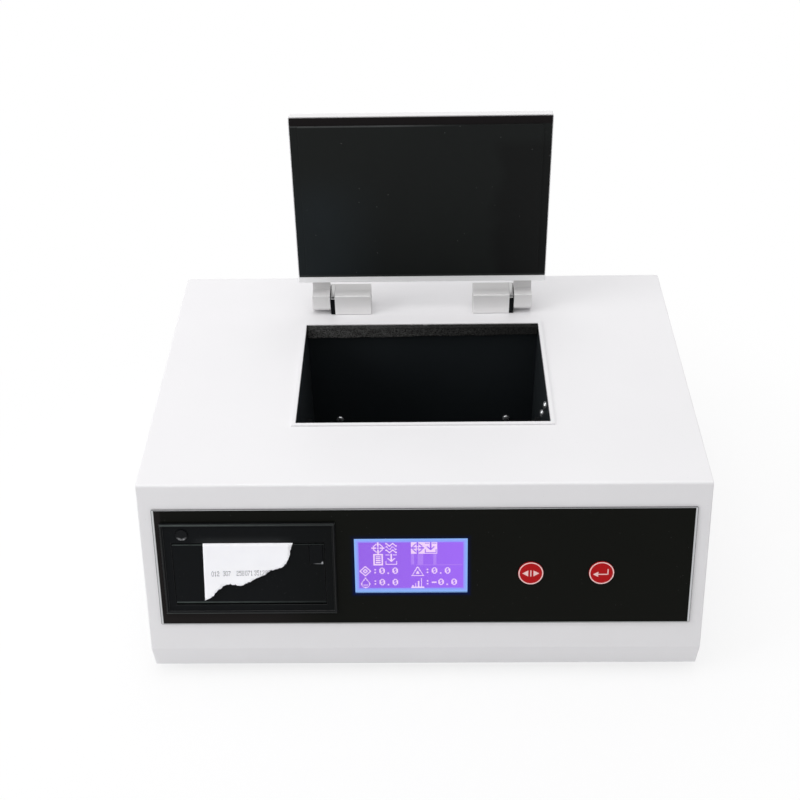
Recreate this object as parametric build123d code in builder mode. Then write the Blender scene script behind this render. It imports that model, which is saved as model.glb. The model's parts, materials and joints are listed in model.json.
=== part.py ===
from build123d import *
import os
from math import atan2, cos, degrees, hypot, pi, radians, sin, sqrt

# Benchtop colorimeter. Millimetres. X to the right, Y to the back, Z up.
# The origin is the centre of the footprint, on the surface that it stands on.

# ---------------------------------------------------------------- case
case_width = 360
case_depth = 269            # fold line at the front to the back edge
case_height = 132           # without the feet
fold_height = 19            # fold line above the bottom edge
fold_undercut = 3           # how far the strip under the fold leans in
slope_run = 36              # how far the front leans back between fold and top
sheet = 1.5                 # painted steel sheet
bend_radius = 2
fit_gap = 0.5               # between sheet parts that slide into each other
touch_gap = 0.05            # running fit of pins and shafts
screw_gap = 0.15            # round a screw in its hole
flange_width = 12           # return flanges of the cover
rear_recess = 4             # rear panel sits this deep behind the back edge
foot_gap = 7                # floor to the bottom edge of the case
foot_radius = 10
foot_inset_x = 32
foot_inset_y = 30
foot_screw_seat = 3.5       # screw head seats this high in the foot
screw_head = 1.8            # height of a small pan head
small_screw = 1.5           # radius of the M3 screws
small_head = 2.8            # radius of their heads
inlet_head = 2.4
large_screw = 2             # radius of the M4 screws
large_head = 3.4
large_screw_head = 2.4      # height of their heads
rear_screw_margin = 8       # rear screws past the corners' flanges
cover_screw_inset = 55

# ---------------------------------------------------------------- chamber
opening_width = 168
opening_length = 110.5
opening_to_back = 64        # opening's back edge to the back edge of the case
lip_width = 2.5
lip_height = 1
chamber_depth = 95
chamber_wall = 1.2
chamber_flange = 10
bracket_end = 9             # bracket past its fixing screws
bracket_foot = 16
bracket_slot = (30, 10)
chamber_screw_reach = 2     # screw past what it holds
foam_height = 9.5
foam_thickness = 4
beam_above_floor = 30       # light path above the chamber floor
rear_fix_x = 64             # fixing screws low on the chamber's rear wall
rear_fix_above_floor = 6.3
wall_screw_offsets = [(-22, 82), (-7.5, 63)]   # from the chamber's middle, above its floor
port_radius = 12
port_ring_radius = 18
port_ring_thickness = 3
port_glass_thickness = 2
holder_length = 140
holder_width = 34
holder_height = 34
holder_wall = 2.5
holder_pocket_drop = 8      # side pockets end this far under the top
cell_slot_width = 22

# ---------------------------------------------------------------- lid
lid_width = 178
lid_length = 124.8
lid_skin = 1.2
lid_body = 6.3              # painted tray, without the liner
lid_gap = 1.5               # closed liner above the top of the case
lid_overlap_back = 4.9      # closed lid reaches past the opening's back edge
lid_open_angle = 95.2
liner_thickness = 1.2
pad_thickness = 0.8
pad_inset = 5.5
pad_rear_inset = 2
liner_inset = 0.6
hem_width = 4.3             # painted edge along the hinge side

# ---------------------------------------------------------------- hinges
axis_to_back = 42.1
axis_height = 9.2           # above the top of the case
hinge_spacing = 117.2
block_size = 16.5
block_width = 26.4
knuckle_width = 12.8
hinge_split = 3.4
pin_radius = 3
collar_radius = 5.2         # collar on the pin, in the split of the hinge
collar_thickness = 1.7
arm_thickness = 3
arm_length = 46
arm_screw_insets = (8, 22)  # from the lid's rear edge
lid_screw_reach = 2.5       # screw past the lid's skin
knuckle_clearance = 0.4

# ---------------------------------------------------------------- front panel
panel_to_side = 8.5         # panel's ends to the sides of the case
panel_height = 83
panel_corner = 0.8
panel_center_down = 57.9    # down the slope from its top edge
overlay = 1.0
display_to_printer = 11.7   # display window to the printer's bezel
display_down = 57.1
display_width = 72
display_height = 39
display_board_width = 93
display_board_height = 70
display_frame_width = 84
display_frame_height = 52
display_frame_depth = 9
display_border = 2          # cover cut-out round the display window
board = 1.6                 # circuit board thickness
spacer_radius = 2.8         # hexagonal spacers under the boards
spacer_stud = 1.25
stud_proud = 2
button_radius = 8.05
button_down = 62.6
select_to_display = 40.3    # middle of the key to the display window
key_spacing = 45
button_gap = 0.25
button_proud = 0.6
button_travel = 0.8
button_flange = 1.6
stem_radius = 2.5
stem_length = 3
button_play = 0.1           # key to panel sheet, and stem to switch
flange_overlap = 1.4        # flange wider than the key
key_body = 6
key_body_height = 3.5
plunger_radius = 1.7
plunger_height = 1.4
key_board_height = 30
key_board_margin = 17       # key's middle to the end of its board
key_post_inset = 5.5

# ---------------------------------------------------------------- printer
printer_to_edge = 4.6       # bezel to the end of the panel
printer_down = 58.0
bezel_width = 111
bezel_height = 65
bezel_proud = 2.5
bezel_rim = 2
bezel_step = 1.2            # face lies this much behind the rim
housing_width = 103
housing_height = 57
housing_depth = 50
housing_wall = 2
door_width = 96.6
door_height = 43.4
door_down = 62.0
door_thickness = 4
door_gap = 0.4
slot_height = 1.0
door_open_angle = 80
door_pin_radius = 1.1
roller_radius = 4
roller_length = 58
roller_shaft_radius = 1.5
roller_down = 5.0           # roller centre under the door's top edge
roller_back = 7.2           # roller centre behind the slope
ear_thickness = 3
gear_module = 0.5
platen_teeth = 18
drive_teeth = 28
gear_width = 4
gear_slack = 0.15           # added between the two gear axes
roll_radius = 16
roll_core_radius = 6
roll_center_below_door_top = 26
roll_center_back = 27
paper_width = 57
paper_thickness = 0.2
feed_x = -41.6              # from the printer's middle
feed_down = 33.3
feed_radius = 3.75
feed_stem_radius = 1.6
feed_stem_length = 5
feed_travel = 0.8
latch_width = 8.6
latch_height = 13.4
latch_thickness = 1.6
latch_travel = 1.2
latch_from_edge = 1.0       # latch to the right and top edges of the door
head_gap = 1.2              # print head above the roller
head_back = 3               # print head behind the slope
head_depth = 11
head_end = 1                # print head longer than the roller at each end
roller_play = 1             # roller to the ears at its ends
bar_teeth = 29              # tear bar
bar_tooth_height = 0.6
bar_thickness = 0.5
bar_to_hole = 0.1           # tooth tips behind the edge of the hole
bar_to_housing = 2.5
motor_radius = 8
motor_gap = 0.8
motor_shaft_radius = 1
drive_hub_length = 2
feed_proud = 0.9
feed_clear = 0.4

# ---------------------------------------------------------------- optics
lamp_glass_radius = 5
lamp_glass_length = 20
lamp_to_wall = 42
lamp_base_height = 12
lamp_base_width = 16
lamp_base_length = 20
lamp_foot_width = 30
lamp_shelf_width = 24
lamp_bracket_length = 28
lens_radius = 11
lens_edge = 2
lens_bulge = 5
lens_gap = 0.2              # round the lens in its tube
tube_wall = 3.3
tube_length = 18
tube_flange = 34
tube_flange_thickness = 2
lens_ledge = 1.5            # ring that the lens rests on
detector_size = 44
detector_length = 34
detector_recess = 10
detector_rim = 4
detector_plate_width = 64
detector_plate_margin = 5   # plate to the chamber's floor
detector_plate_height = 75
detector_board_gap = 0.5
sensor_spacing = 10
sensor_radius = 3.4
sensor_length = 4
detector_plug = (16, 7)
detector_plug_height = 5
detector_plug_drop = 8

# ---------------------------------------------------------------- rear panel and electronics
inlet_to_side = 50          # middles of the inlet and of the fan to the sides
inlet_up = 36               # above the bottom edge of the case
switch_up = 74
inlet_width = 28
inlet_height = 20.5
inlet_depth = 22
inlet_flange = 2.5
inlet_flange_width = 48
inlet_flange_height = 26
inlet_screw_xs = (-20, 20)   # from the middle of the inlet
socket_depth = 20
inlet_pin_length = 15
switch_width = 21
switch_height = 15
switch_depth = 18
switch_flange = 2
rocker_angle = 16
rocker_back = 6.0           # rocker axis behind the face of the rear panel
rocker_half = 8.6
rocker_foot = 5.0           # half width of the rocker behind its axis
rocker_dip = 1.0            # hollow in the middle of the rocker's face
rocker_tail = 3.0           # behind its axis
rocker_below_rim = 0.9
rocker_pin_radius = 1.3
rocker_pin_grip = 1.0       # length of each pin in the housing
port_x = 52
port_up = 38
port_post_xs = (-12.5, 12.5)
port_shell = (19, 10.8)
port_plate = (31, 12.5)
port_plate_thickness = 0.8
port_nose = 2.4
port_depth = 10
port_post_radius = 2.7
port_screw_length = 6
contact_radius = 0.6
contact_depth = 2.5
fan_to_side = 62
fan_up = 78
fan_size = 60
fan_depth = 20
fan_wall = 1.5              # bore to the flat sides of the frame
fan_hole_inset = 5
fan_arm_width = 4
fan_arm_depth = 3
fan_hub_gap = 0.5
vent_rows = 7
vent_height = 4
vent_pitch = 7.06
fan_hub_radius = 14
fan_blades = 7
blade_pitch = 38
blade_chord = 14
blade_thickness = 1.4
blade_overlap = 2           # blade roots reach this deep into the hub
blade_tip_gap = 0.9
main_board_width = 150
main_board_length = 56
main_board_parts = [
    ((18, 18), (-10, 4), 1.6),
    ((30, 8), (-52, 18), 9),
    ((30, 8), (-14, 21), 9),
    ((12, 12), (36, -6), 14),
    ((8, 22), (62, 4), 10),
    ((14, 10), (-48, -12), 3),
]
board_post_height = 6
board_to_front = 24
board_to_side = 16
board_post_inset = 5
supply_to_side = 14
supply_gap = 2              # supply to the chamber's bracket
supply_width = 80
supply_length = 54
supply_to_chamber = 1.8     # top of the supply to the underside of the chamber

# ---------------------------------------------------------------- derived places
case_bottom = foot_gap
case_top = foot_gap + case_height
front_y = -case_depth / 2
back_y = case_depth / 2
inner_half_width = case_width / 2 - sheet
slope_rise = case_height - fold_height
slope_angle = degrees(atan2(slope_run, slope_rise))
slope_top_y = front_y + slope_run
opening_back_y = back_y - opening_to_back
opening_y = opening_back_y - opening_length / 2
chamber_floor = case_top - chamber_depth
beam_z = chamber_floor + beam_above_floor
tray_floor = case_bottom + sheet + sheet
axis_y = back_y - axis_to_back
axis_z = case_top + axis_height
rear_panel_y = back_y - rear_recess - sheet       # outer face of the rear panel
wall_screw_places = [(opening_y + along, chamber_floor + up) for along, up in wall_screw_offsets]
chamber_outer_x = opening_width / 2 + chamber_wall
chamber_outer_y = opening_length / 2 + chamber_wall

panel_width = case_width - 2 * panel_to_side
printer_x = -panel_width / 2 + printer_to_edge + bezel_width / 2
display_x = printer_x + bezel_width / 2 + display_to_printer + display_width / 2
select_x = display_x + display_width / 2 + select_to_display
confirm_x = select_x + key_spacing
supply_height = chamber_floor - chamber_wall - tray_floor - supply_to_chamber
inlet_x = case_width / 2 - inlet_to_side
fan_x = fan_to_side - case_width / 2

slope = Plane(
    origin=(0, slope_top_y, case_top),
    x_dir=(1, 0, 0),
    z_dir=(0, -cos(radians(slope_angle)), sin(radians(slope_angle))),
)
lid_side = Plane(
    origin=(0, axis_y, axis_z),
    x_dir=(0, cos(radians(lid_open_angle)), -sin(radians(lid_open_angle))),
    z_dir=(1, 0, 0),
)
lid_plane = Plane(
    origin=(0, axis_y, axis_z),
    x_dir=(1, 0, 0),
    z_dir=(0, sin(radians(lid_open_angle)), cos(radians(lid_open_angle))),
)

parts = []


def keep(piece, label):
    """Names a finished piece and lists it for export."""
    piece.part.label = label
    parts.append(piece.part)


def on_slope(x, down, out):
    """Plane on the sloped front: x across, down from its top edge, out of its face."""
    return Plane(
        origin=slope.from_local_coords((x, -down, out)),
        x_dir=slope.x_dir,
        z_dir=slope.z_dir,
    )


def height_above_slope(shape):
    """How far the middle of an edge or a face stands out of the sloped front."""
    return round(slope.to_local_coords(shape.center()).Z, 3)


def on_lid(x, y, z):
    """Plane parallel to the lid; y and z are measured from the hinge axis on the closed lid."""
    return Plane(
        origin=lid_plane.from_local_coords((x, y, z)),
        x_dir=lid_plane.x_dir,
        z_dir=lid_plane.z_dir,
    )


def rear_plane(x, up, out):
    """Plane on the rear panel, facing backwards; up from the bottom edge of the case."""
    return Plane(
        origin=(x, rear_panel_y + out, case_bottom + up),
        x_dir=(-1, 0, 0),
        z_dir=(0, 1, 0),
    )


def gear_profile(teeth, module, tooth_share=0.40):
    """Points round a spur gear with straight-sided teeth, the first tooth along local X."""
    pitch_radius = teeth * module / 2
    tip_radius = pitch_radius + 0.85 * module
    root_radius = pitch_radius - 1.25 * module
    step = 2 * pi / teeth
    points = []
    for tooth in range(teeth):
        middle = tooth * step
        for radius, share in (
            (root_radius, -0.62 * tooth_share),
            (tip_radius, -0.30 * tooth_share),
            (tip_radius, 0.30 * tooth_share),
            (root_radius, 0.62 * tooth_share),
        ):
            angle = middle + share * step
            points.append((radius * cos(angle), radius * sin(angle)))
    return points


# ================================================================ case
case_outline = [
    (front_y + fold_undercut, case_bottom),
    (front_y, case_bottom + fold_height),
    (slope_top_y, case_top),
    (back_y, case_top),
    (back_y, case_bottom),
]
cavity_back_y = back_y - rear_recess - sheet
cavity_outline = case_outline[:3] + [(cavity_back_y + sheet, case_top), (cavity_back_y + sheet, case_bottom)]

foot_places = [
    (side * (case_width / 2 - foot_inset_x), end * (case_depth / 2 - foot_inset_y))
    for side in (-1, 1)
    for end in (-1, 1)
]
rear_screw_places = [
    (side * (inner_half_width - flange_width / 2), up)
    for side in (-1, 1)
    for up in (flange_width + rear_screw_margin, case_height - flange_width - rear_screw_margin)
]
cover_screw_places = [
    (side * (inner_half_width - flange_width / 2), end * (case_depth / 2 - cover_screw_inset))
    for side in (-1, 1)
    for end in (-1, 1)
]
hinge_sides = {"left": -1, "right": 1}
block_inner_x = hinge_spacing / 2 - (block_width + hinge_split + knuckle_width) / 2
block_outer_x = block_inner_x + block_width
knuckle_inner_x = block_outer_x + hinge_split
knuckle_outer_x = knuckle_inner_x + knuckle_width
hinge_screw_xs = [block_inner_x + block_width * share for share in (0.28, 0.72)]
hinge_screw_length = 5.2
key_board_x = (select_x + confirm_x) / 2
key_board_width = key_spacing + 2 * key_board_margin
key_posts = [
    (side * (key_board_width / 2 - key_post_inset), end * (key_board_height / 2 - key_post_inset))
    for side in (-1, 1)
    for end in (-1, 1)
]
display_posts = [
    (side * (display_board_width / 2 - 4), end * (display_board_height / 2 - 4))
    for side in (-1, 1)
    for end in (-1, 1)
]
printer_top = printer_down - housing_height / 2
door_top = door_down - door_height / 2
door_bottom = door_down + door_height / 2
latch_x = door_width / 2 - latch_from_edge - latch_width / 2
latch_down = door_top + latch_from_edge + latch_height / 2

with BuildPart() as top_cover:
    with BuildSketch(Plane.YZ) as cover_section:
        with BuildLine():
            Polyline(*case_outline, close=True)
        make_face()
        front_corners = cover_section.vertices().sort_by(Axis.X)[:1]
        top_corners = cover_section.vertices().group_by(Axis.Y)[-1]
        fillet(front_corners + top_corners, bend_radius)
    extrude(amount=case_width / 2, both=True)
    top_and_side_edges = top_cover.faces().sort_by(Axis.Z)[-1].edges().filter_by(Axis.Y)
    fillet(top_and_side_edges, sheet / 2)
    with BuildSketch(Plane.YZ):
        with BuildLine():
            Polyline(*cavity_outline, close=True)
        make_face()
        offset(amount=-sheet, kind=Kind.INTERSECTION)
    extrude(amount=inner_half_width, both=True, mode=Mode.SUBTRACT)
    with BuildSketch(Plane.XZ.offset(-back_y)):
        with Locations((0, case_bottom + case_height / 2)):
            Rectangle(2 * inner_half_width, case_height - 2 * sheet)
    extrude(amount=rear_recess, mode=Mode.SUBTRACT)
    with BuildSketch(Plane.XZ.offset(-back_y)):
        with Locations((0, case_bottom + case_height / 2)):
            Rectangle(2 * (inner_half_width - flange_width), case_height - 2 * (sheet + flange_width))
    extrude(amount=rear_recess + sheet, mode=Mode.SUBTRACT)
    with BuildSketch(Plane.XY.offset(case_bottom)):
        bottom_front = front_y + fold_undercut + sheet + flange_width
        bottom_back = cavity_back_y - flange_width
        with Locations((0, (bottom_front + bottom_back) / 2)):
            Rectangle(2 * (inner_half_width - flange_width), bottom_back - bottom_front)
    extrude(amount=sheet, mode=Mode.SUBTRACT)
    with BuildSketch(Plane.XY.offset(case_top)):
        with Locations((0, opening_y)):
            Rectangle(opening_width + 2 * lip_width, opening_length + 2 * lip_width)
    extrude(amount=lip_height)
    with BuildSketch(Plane.XY.offset(case_top + lip_height)):
        with Locations((0, opening_y)):
            Rectangle(opening_width, opening_length)
    extrude(amount=-(lip_height + sheet), mode=Mode.SUBTRACT)
    with BuildSketch(on_slope(0, 0, 0)):
        with Locations((display_x, -display_down)):
            Rectangle(display_width + 2 * display_border, display_height + 2 * display_border)
        with Locations((printer_x, -printer_down)):
            Rectangle(housing_width + fit_gap, housing_height + fit_gap)
        with Locations((select_x, -button_down), (confirm_x, -button_down)):
            Circle(button_radius + button_gap)
    extrude(amount=-2 * sheet, mode=Mode.SUBTRACT)
    with BuildSketch(Plane.XY.offset(case_top)):
        with Locations(*[(side * x, axis_y) for side in (-1, 1) for x in hinge_screw_xs]):
            Circle(large_screw + screw_gap)
    extrude(amount=-sheet, mode=Mode.SUBTRACT)
    with BuildSketch(rear_plane(0, 0, 0)):
        with Locations(*rear_screw_places):
            Circle(small_screw + screw_gap)
    extrude(amount=sheet, mode=Mode.SUBTRACT)
    with BuildSketch(Plane.XY.offset(case_bottom)):
        with Locations(*cover_screw_places):
            Circle(small_screw + screw_gap)
    extrude(amount=sheet, mode=Mode.SUBTRACT)
keep(top_cover, "top_cover")

tray_front_y = front_y + fold_undercut + sheet + fit_gap
tray_back_y = rear_panel_y - sheet - fit_gap
tray_wall_height = 12
tray_half_width = inner_half_width - fit_gap
with BuildPart() as base_tray:
    tray_center_y = (tray_front_y + tray_back_y) / 2
    with BuildSketch(Plane.XY.offset(case_bottom + sheet)):
        with Locations((0, tray_center_y)):
            Rectangle(2 * tray_half_width, tray_back_y - tray_front_y)
    extrude(amount=tray_wall_height)
    with BuildSketch(Plane.XY.offset(tray_floor)):
        with Locations((0, tray_center_y)):
            Rectangle(2 * (tray_half_width - sheet), tray_back_y - tray_front_y - 2 * sheet)
    extrude(amount=tray_wall_height, mode=Mode.SUBTRACT)
    with BuildSketch(Plane.XY.offset(case_bottom + sheet)):
        with Locations(*foot_places):
            Circle(large_screw + screw_gap)
        with Locations(*cover_screw_places):
            Circle(small_screw + screw_gap)
    extrude(amount=sheet, mode=Mode.SUBTRACT)
keep(base_tray, "base_tray")

foot_height = case_bottom + sheet
with BuildPart() as rubber_feet:
    for place in foot_places:
        with BuildSketch(Plane.XY):
            with Locations(place):
                Circle(foot_radius - 1.5)
        with BuildSketch(Plane.XY.offset(foot_height)):
            with Locations(place):
                Circle(foot_radius)
        loft()
        with BuildSketch(Plane.XY):
            with Locations(place):
                Circle(4.2)
        extrude(amount=foot_screw_seat, mode=Mode.SUBTRACT)
        with BuildSketch(Plane.XY.offset(foot_height)):
            with Locations(place):
                Circle(large_screw + screw_gap)
        extrude(amount=-foot_height, mode=Mode.SUBTRACT)
keep(rubber_feet, "rubber_feet")

with BuildPart() as bottom_screws:
    for places, radius, head_radius, seat, length in (
        (foot_places, 2, 3.6, foot_screw_seat, foot_height - foot_screw_seat + sheet + 2.5),
        (cover_screw_places, 1.5, 2.9, case_bottom, 6),
    ):
        with BuildSketch(Plane.XY.offset(seat)):
            with Locations(*places):
                Circle(head_radius)
        extrude(amount=-screw_head)
        with BuildSketch(Plane.XY.offset(seat)):
            with Locations(*places):
                Circle(radius)
        extrude(amount=length)
keep(bottom_screws, "bottom_screws")

# ---------------------------------------------------------------- rear panel
fan_hole_spacing = fan_size - 2 * fan_hole_inset
rear_height = case_height - 2 * sheet - 2 * fit_gap
with BuildPart() as rear_panel:
    with BuildSketch(rear_plane(0, case_height / 2, 0)):
        Rectangle(2 * (inner_half_width - fit_gap), rear_height)
    extrude(amount=-sheet)
    with BuildSketch(rear_plane(inlet_x, inlet_up, 0)):
        Rectangle(inlet_width + screw_gap, inlet_height + screw_gap)
        with Locations(*[(offset, 0) for offset in inlet_screw_xs]):
            Circle(small_screw + screw_gap)
    extrude(amount=-sheet, mode=Mode.SUBTRACT)
    with BuildSketch(rear_plane(inlet_x, switch_up, 0)):
        Rectangle(switch_width + screw_gap, switch_height + screw_gap)
    extrude(amount=-sheet, mode=Mode.SUBTRACT)
    with BuildSketch(rear_plane(port_x, port_up, 0)):
        Rectangle(port_shell[0] + fit_gap, port_shell[1] + fit_gap)
        with Locations(*[(offset, 0) for offset in port_post_xs]):
            Circle(small_screw + screw_gap)
    extrude(amount=-sheet, mode=Mode.SUBTRACT)
    with BuildSketch(rear_plane(fan_x, fan_up, 0)):
        for row in range(vent_rows):
            slot_rise = (row - (vent_rows - 1) / 2) * vent_pitch
            slot_span = 2 * sqrt((fan_size / 2 - 2) ** 2 - slot_rise**2)
            with Locations((0, slot_rise)):
                SlotOverall(slot_span, vent_height)
        with GridLocations(fan_hole_spacing, fan_hole_spacing, 2, 2):
            Circle(small_screw + screw_gap)
    extrude(amount=-sheet, mode=Mode.SUBTRACT)
    with BuildSketch(rear_plane(0, 0, 0)):
        with Locations(*rear_screw_places):
            Circle(small_screw + screw_gap)
    extrude(amount=-sheet, mode=Mode.SUBTRACT)
keep(rear_panel, "rear_panel")

with BuildPart() as power_inlet:
    with BuildSketch(rear_plane(inlet_x, inlet_up, 0)):
        RectangleRounded(inlet_flange_width, inlet_flange_height, 4)
    extrude(amount=inlet_flange)
    with BuildSketch(rear_plane(inlet_x, inlet_up, 0)):
        Rectangle(inlet_width, inlet_height)
    extrude(amount=-inlet_depth)
    with BuildSketch(rear_plane(inlet_x, inlet_up, inlet_flange)):
        with BuildLine():
            Polyline((-12, -8.2), (-12, 3.2), (-7, 8.2), (7, 8.2), (12, 3.2), (12, -8.2), close=True)
        make_face()
    extrude(amount=-socket_depth, mode=Mode.SUBTRACT)
    with BuildSketch(rear_plane(inlet_x, inlet_up, inlet_flange)):
        with Locations(*[(offset, 0) for offset in inlet_screw_xs]):
            Circle(small_screw + screw_gap)
    extrude(amount=-inlet_flange, mode=Mode.SUBTRACT)
keep(power_inlet, "power_inlet")

with BuildPart() as inlet_pins:
    with BuildSketch(rear_plane(inlet_x, inlet_up, inlet_flange - socket_depth)):
        with Locations((-7, -2), (0, 2), (7, -2)):
            Rectangle(2, 4)
    extrude(amount=inlet_pin_length)
keep(inlet_pins, "inlet_pins")

with BuildPart() as rear_screws:
    for places, seat, head in (
        (rear_screw_places, sheet, screw_head),
        ([(offset - inlet_x, inlet_up) for offset in inlet_screw_xs], inlet_flange, screw_head / 2),
    ):
        with BuildSketch(rear_plane(0, 0, seat)):
            with Locations(*places):
                Circle(inlet_head)
        extrude(amount=head)
        with BuildSketch(rear_plane(0, 0, seat)):
            with Locations(*places):
                Circle(small_screw)
        extrude(amount=-seat - 5)
keep(rear_screws, "rear_screws")

rocker_axis_y = rear_panel_y - rocker_back
rocker_pin_end = (switch_height - 3) / 2 + rocker_pin_grip
with BuildPart() as power_switch:
    with BuildSketch(rear_plane(inlet_x, switch_up, 0)):
        Rectangle(switch_width + 3, switch_height + 3)
    extrude(amount=switch_flange)
    with BuildSketch(rear_plane(inlet_x, switch_up, 0)):
        Rectangle(switch_width, switch_height)
    extrude(amount=-switch_depth)
    with BuildSketch(rear_plane(inlet_x, switch_up, switch_flange)):
        Rectangle(switch_width - 2, switch_height - 3)
    extrude(amount=-(switch_flange + 13), mode=Mode.SUBTRACT)
    with BuildSketch(Plane.XY.offset(case_bottom + switch_up)):
        with Locations((inlet_x, rocker_axis_y)):
            Circle(rocker_pin_radius + touch_gap)
    extrude(amount=rocker_pin_end + touch_gap, both=True, mode=Mode.SUBTRACT)
keep(power_switch, "power_switch")

# The rocker is drawn tipped to its off side. Its section lies in the horizontal plane.
rocker_top = rocker_back + switch_flange - rocker_below_rim
with BuildPart() as switch_rocker:
    with BuildSketch(Plane.XY.offset(case_bottom + switch_up)):
        tilt = radians(rocker_angle / 2)
        shape = [
            (-rocker_half, rocker_top),
            (0, rocker_top - rocker_dip),
            (rocker_half, rocker_top),
            (rocker_foot, -rocker_tail),
            (-rocker_foot, -rocker_tail),
        ]
        turned = [
            (inlet_x + px * cos(tilt) - py * sin(tilt), rocker_axis_y + px * sin(tilt) + py * cos(tilt))
            for px, py in shape
        ]
        with BuildLine():
            Polyline(*turned, close=True)
        make_face()
    extrude(amount=(switch_height - 4) / 2, both=True)
    with BuildSketch(Plane.XY.offset(case_bottom + switch_up)):
        with Locations((inlet_x, rocker_axis_y)):
            Circle(rocker_pin_radius)
    extrude(amount=rocker_pin_end, both=True)
keep(switch_rocker, "switch_rocker")

with BuildPart() as serial_port:
    with BuildSketch(rear_plane(port_x, port_up, 0)):
        Rectangle(*port_plate)
    extrude(amount=port_plate_thickness)
    with BuildSketch(rear_plane(port_x, port_up, port_plate_thickness)):
        with BuildLine():
            Polyline((-8.5, 4.2), (8.5, 4.2), (7.5, -4.2), (-7.5, -4.2), close=True)
        make_face()
    extrude(amount=port_nose)
    with BuildSketch(rear_plane(port_x, port_up, 0)):
        Rectangle(*port_shell)
    extrude(amount=-port_depth)
    with BuildSketch(rear_plane(port_x, port_up, port_plate_thickness)):
        with Locations(*[(offset, 0) for offset in port_post_xs]):
            RegularPolygon(port_post_radius, 6)
    extrude(amount=port_nose)
    with BuildSketch(rear_plane(port_x, port_up, 0)):
        with Locations(*[(offset, 0) for offset in port_post_xs]):
            Circle(small_screw)
    extrude(amount=-port_screw_length)
    with BuildSketch(rear_plane(port_x, port_up, port_plate_thickness + port_nose)):
        for row, count in ((1.4, 5), (-1.4, 4)):
            with Locations((0, row)):
                with GridLocations(2.76, 1, count, 1):
                    Circle(contact_radius)
    extrude(amount=-contact_depth, mode=Mode.SUBTRACT)
keep(serial_port, "serial_port")

fan_bore_radius = fan_size / 2 - fan_wall
with BuildPart() as fan_frame:
    with BuildSketch(rear_plane(fan_x, fan_up, -sheet)):
        Rectangle(fan_size, fan_size)
        Circle(fan_bore_radius, mode=Mode.SUBTRACT)
        with GridLocations(fan_hole_spacing, fan_hole_spacing, 2, 2):
            Circle(small_screw + screw_gap, mode=Mode.SUBTRACT)
    extrude(amount=-fan_depth)
    with BuildSketch(rear_plane(fan_x, fan_up, -sheet - fan_depth)):
        Circle(fan_hub_radius)
        with PolarLocations(fan_size / 4, 4, start_angle=45):
            Rectangle(fan_size / 2 + 2, fan_arm_width)
        Circle(fan_size / 2, mode=Mode.INTERSECT)
    extrude(amount=fan_arm_depth)
keep(fan_frame, "fan_frame")

fan_center = rear_plane(fan_x, fan_up, -sheet - fan_depth / 2).origin
with BuildPart() as fan_rotor:
    with BuildSketch(rear_plane(fan_x, fan_up, -sheet - fan_wall)):
        Circle(fan_hub_radius - fan_hub_gap)
    extrude(amount=-(fan_depth - fan_arm_depth - fan_wall - 2 * fan_hub_gap))
    for blade in range(fan_blades):
        turn = 2 * pi / fan_blades * blade
        pitch = radians(blade_pitch)
        outwards = Vector(cos(turn), 0, sin(turn))
        sideways = Vector(-sin(turn) * cos(pitch), sin(pitch), cos(turn) * cos(pitch))
        blade_root = fan_center + outwards * (fan_hub_radius - blade_overlap)
        with BuildSketch(Plane(origin=blade_root, x_dir=sideways, z_dir=outwards)):
            Rectangle(blade_chord, blade_thickness)
        extrude(amount=fan_bore_radius - fan_hub_radius + blade_overlap - blade_tip_gap)
keep(fan_rotor, "fan_rotor")

# ================================================================ chamber
holder_screw_places = [(side * holder_length / 4, opening_y) for side in (-1, 1)]
rear_fix_places = [(side * rear_fix_x, chamber_floor + rear_fix_above_floor) for side in (-1, 1)]
box_top = case_top - sheet
with BuildPart() as chamber_box:
    with BuildSketch(Plane.XY.offset(box_top)):
        with Locations((0, opening_y)):
            Rectangle(2 * (chamber_outer_x + chamber_flange), 2 * (chamber_outer_y + chamber_flange))
    extrude(amount=-chamber_wall)
    with BuildSketch(Plane.XY.offset(chamber_floor - chamber_wall)):
        with Locations((0, opening_y)):
            Rectangle(2 * chamber_outer_x, 2 * chamber_outer_y)
    extrude(amount=box_top - chamber_floor + chamber_wall)
    with BuildSketch(Plane.XY.offset(chamber_floor)):
        with Locations((0, opening_y)):
            Rectangle(opening_width, opening_length)
    extrude(amount=chamber_depth, mode=Mode.SUBTRACT)
    with BuildSketch(Plane.YZ):
        with Locations((opening_y, beam_z)):
            Circle(port_radius)
    extrude(amount=chamber_outer_x, both=True, mode=Mode.SUBTRACT)
    with BuildSketch(Plane.YZ.offset(opening_width / 2)):
        with Locations(*wall_screw_places):
            Circle(small_screw + screw_gap)
    extrude(amount=chamber_wall, mode=Mode.SUBTRACT)
    with BuildSketch(Plane.XZ.offset(-opening_back_y)):
        with Locations(*rear_fix_places):
            Circle(small_screw + screw_gap)
    extrude(amount=-chamber_wall, mode=Mode.SUBTRACT)
keep(chamber_box, "chamber_box")

bracket_half_width = rear_fix_x + bracket_end
bracket_front_y = opening_back_y + chamber_wall
bracket_height = chamber_floor + rear_fix_above_floor + bracket_end - tray_floor
with BuildPart() as chamber_bracket:
    with BuildSketch(Plane.YZ):
        with Locations((bracket_front_y, tray_floor)):
            Rectangle(sheet, bracket_height, align=(Align.MIN, Align.MIN))
            Rectangle(bracket_foot, sheet, align=(Align.MIN, Align.MIN))
    extrude(amount=bracket_half_width, both=True)
    with BuildSketch(Plane.XZ.offset(-bracket_front_y)):
        with Locations(*rear_fix_places):
            Circle(small_screw + screw_gap)
        with Locations((0, tray_floor + bracket_height / 2)):
            SlotOverall(*bracket_slot)
    extrude(amount=-sheet, mode=Mode.SUBTRACT)
keep(chamber_bracket, "chamber_bracket")

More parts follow.
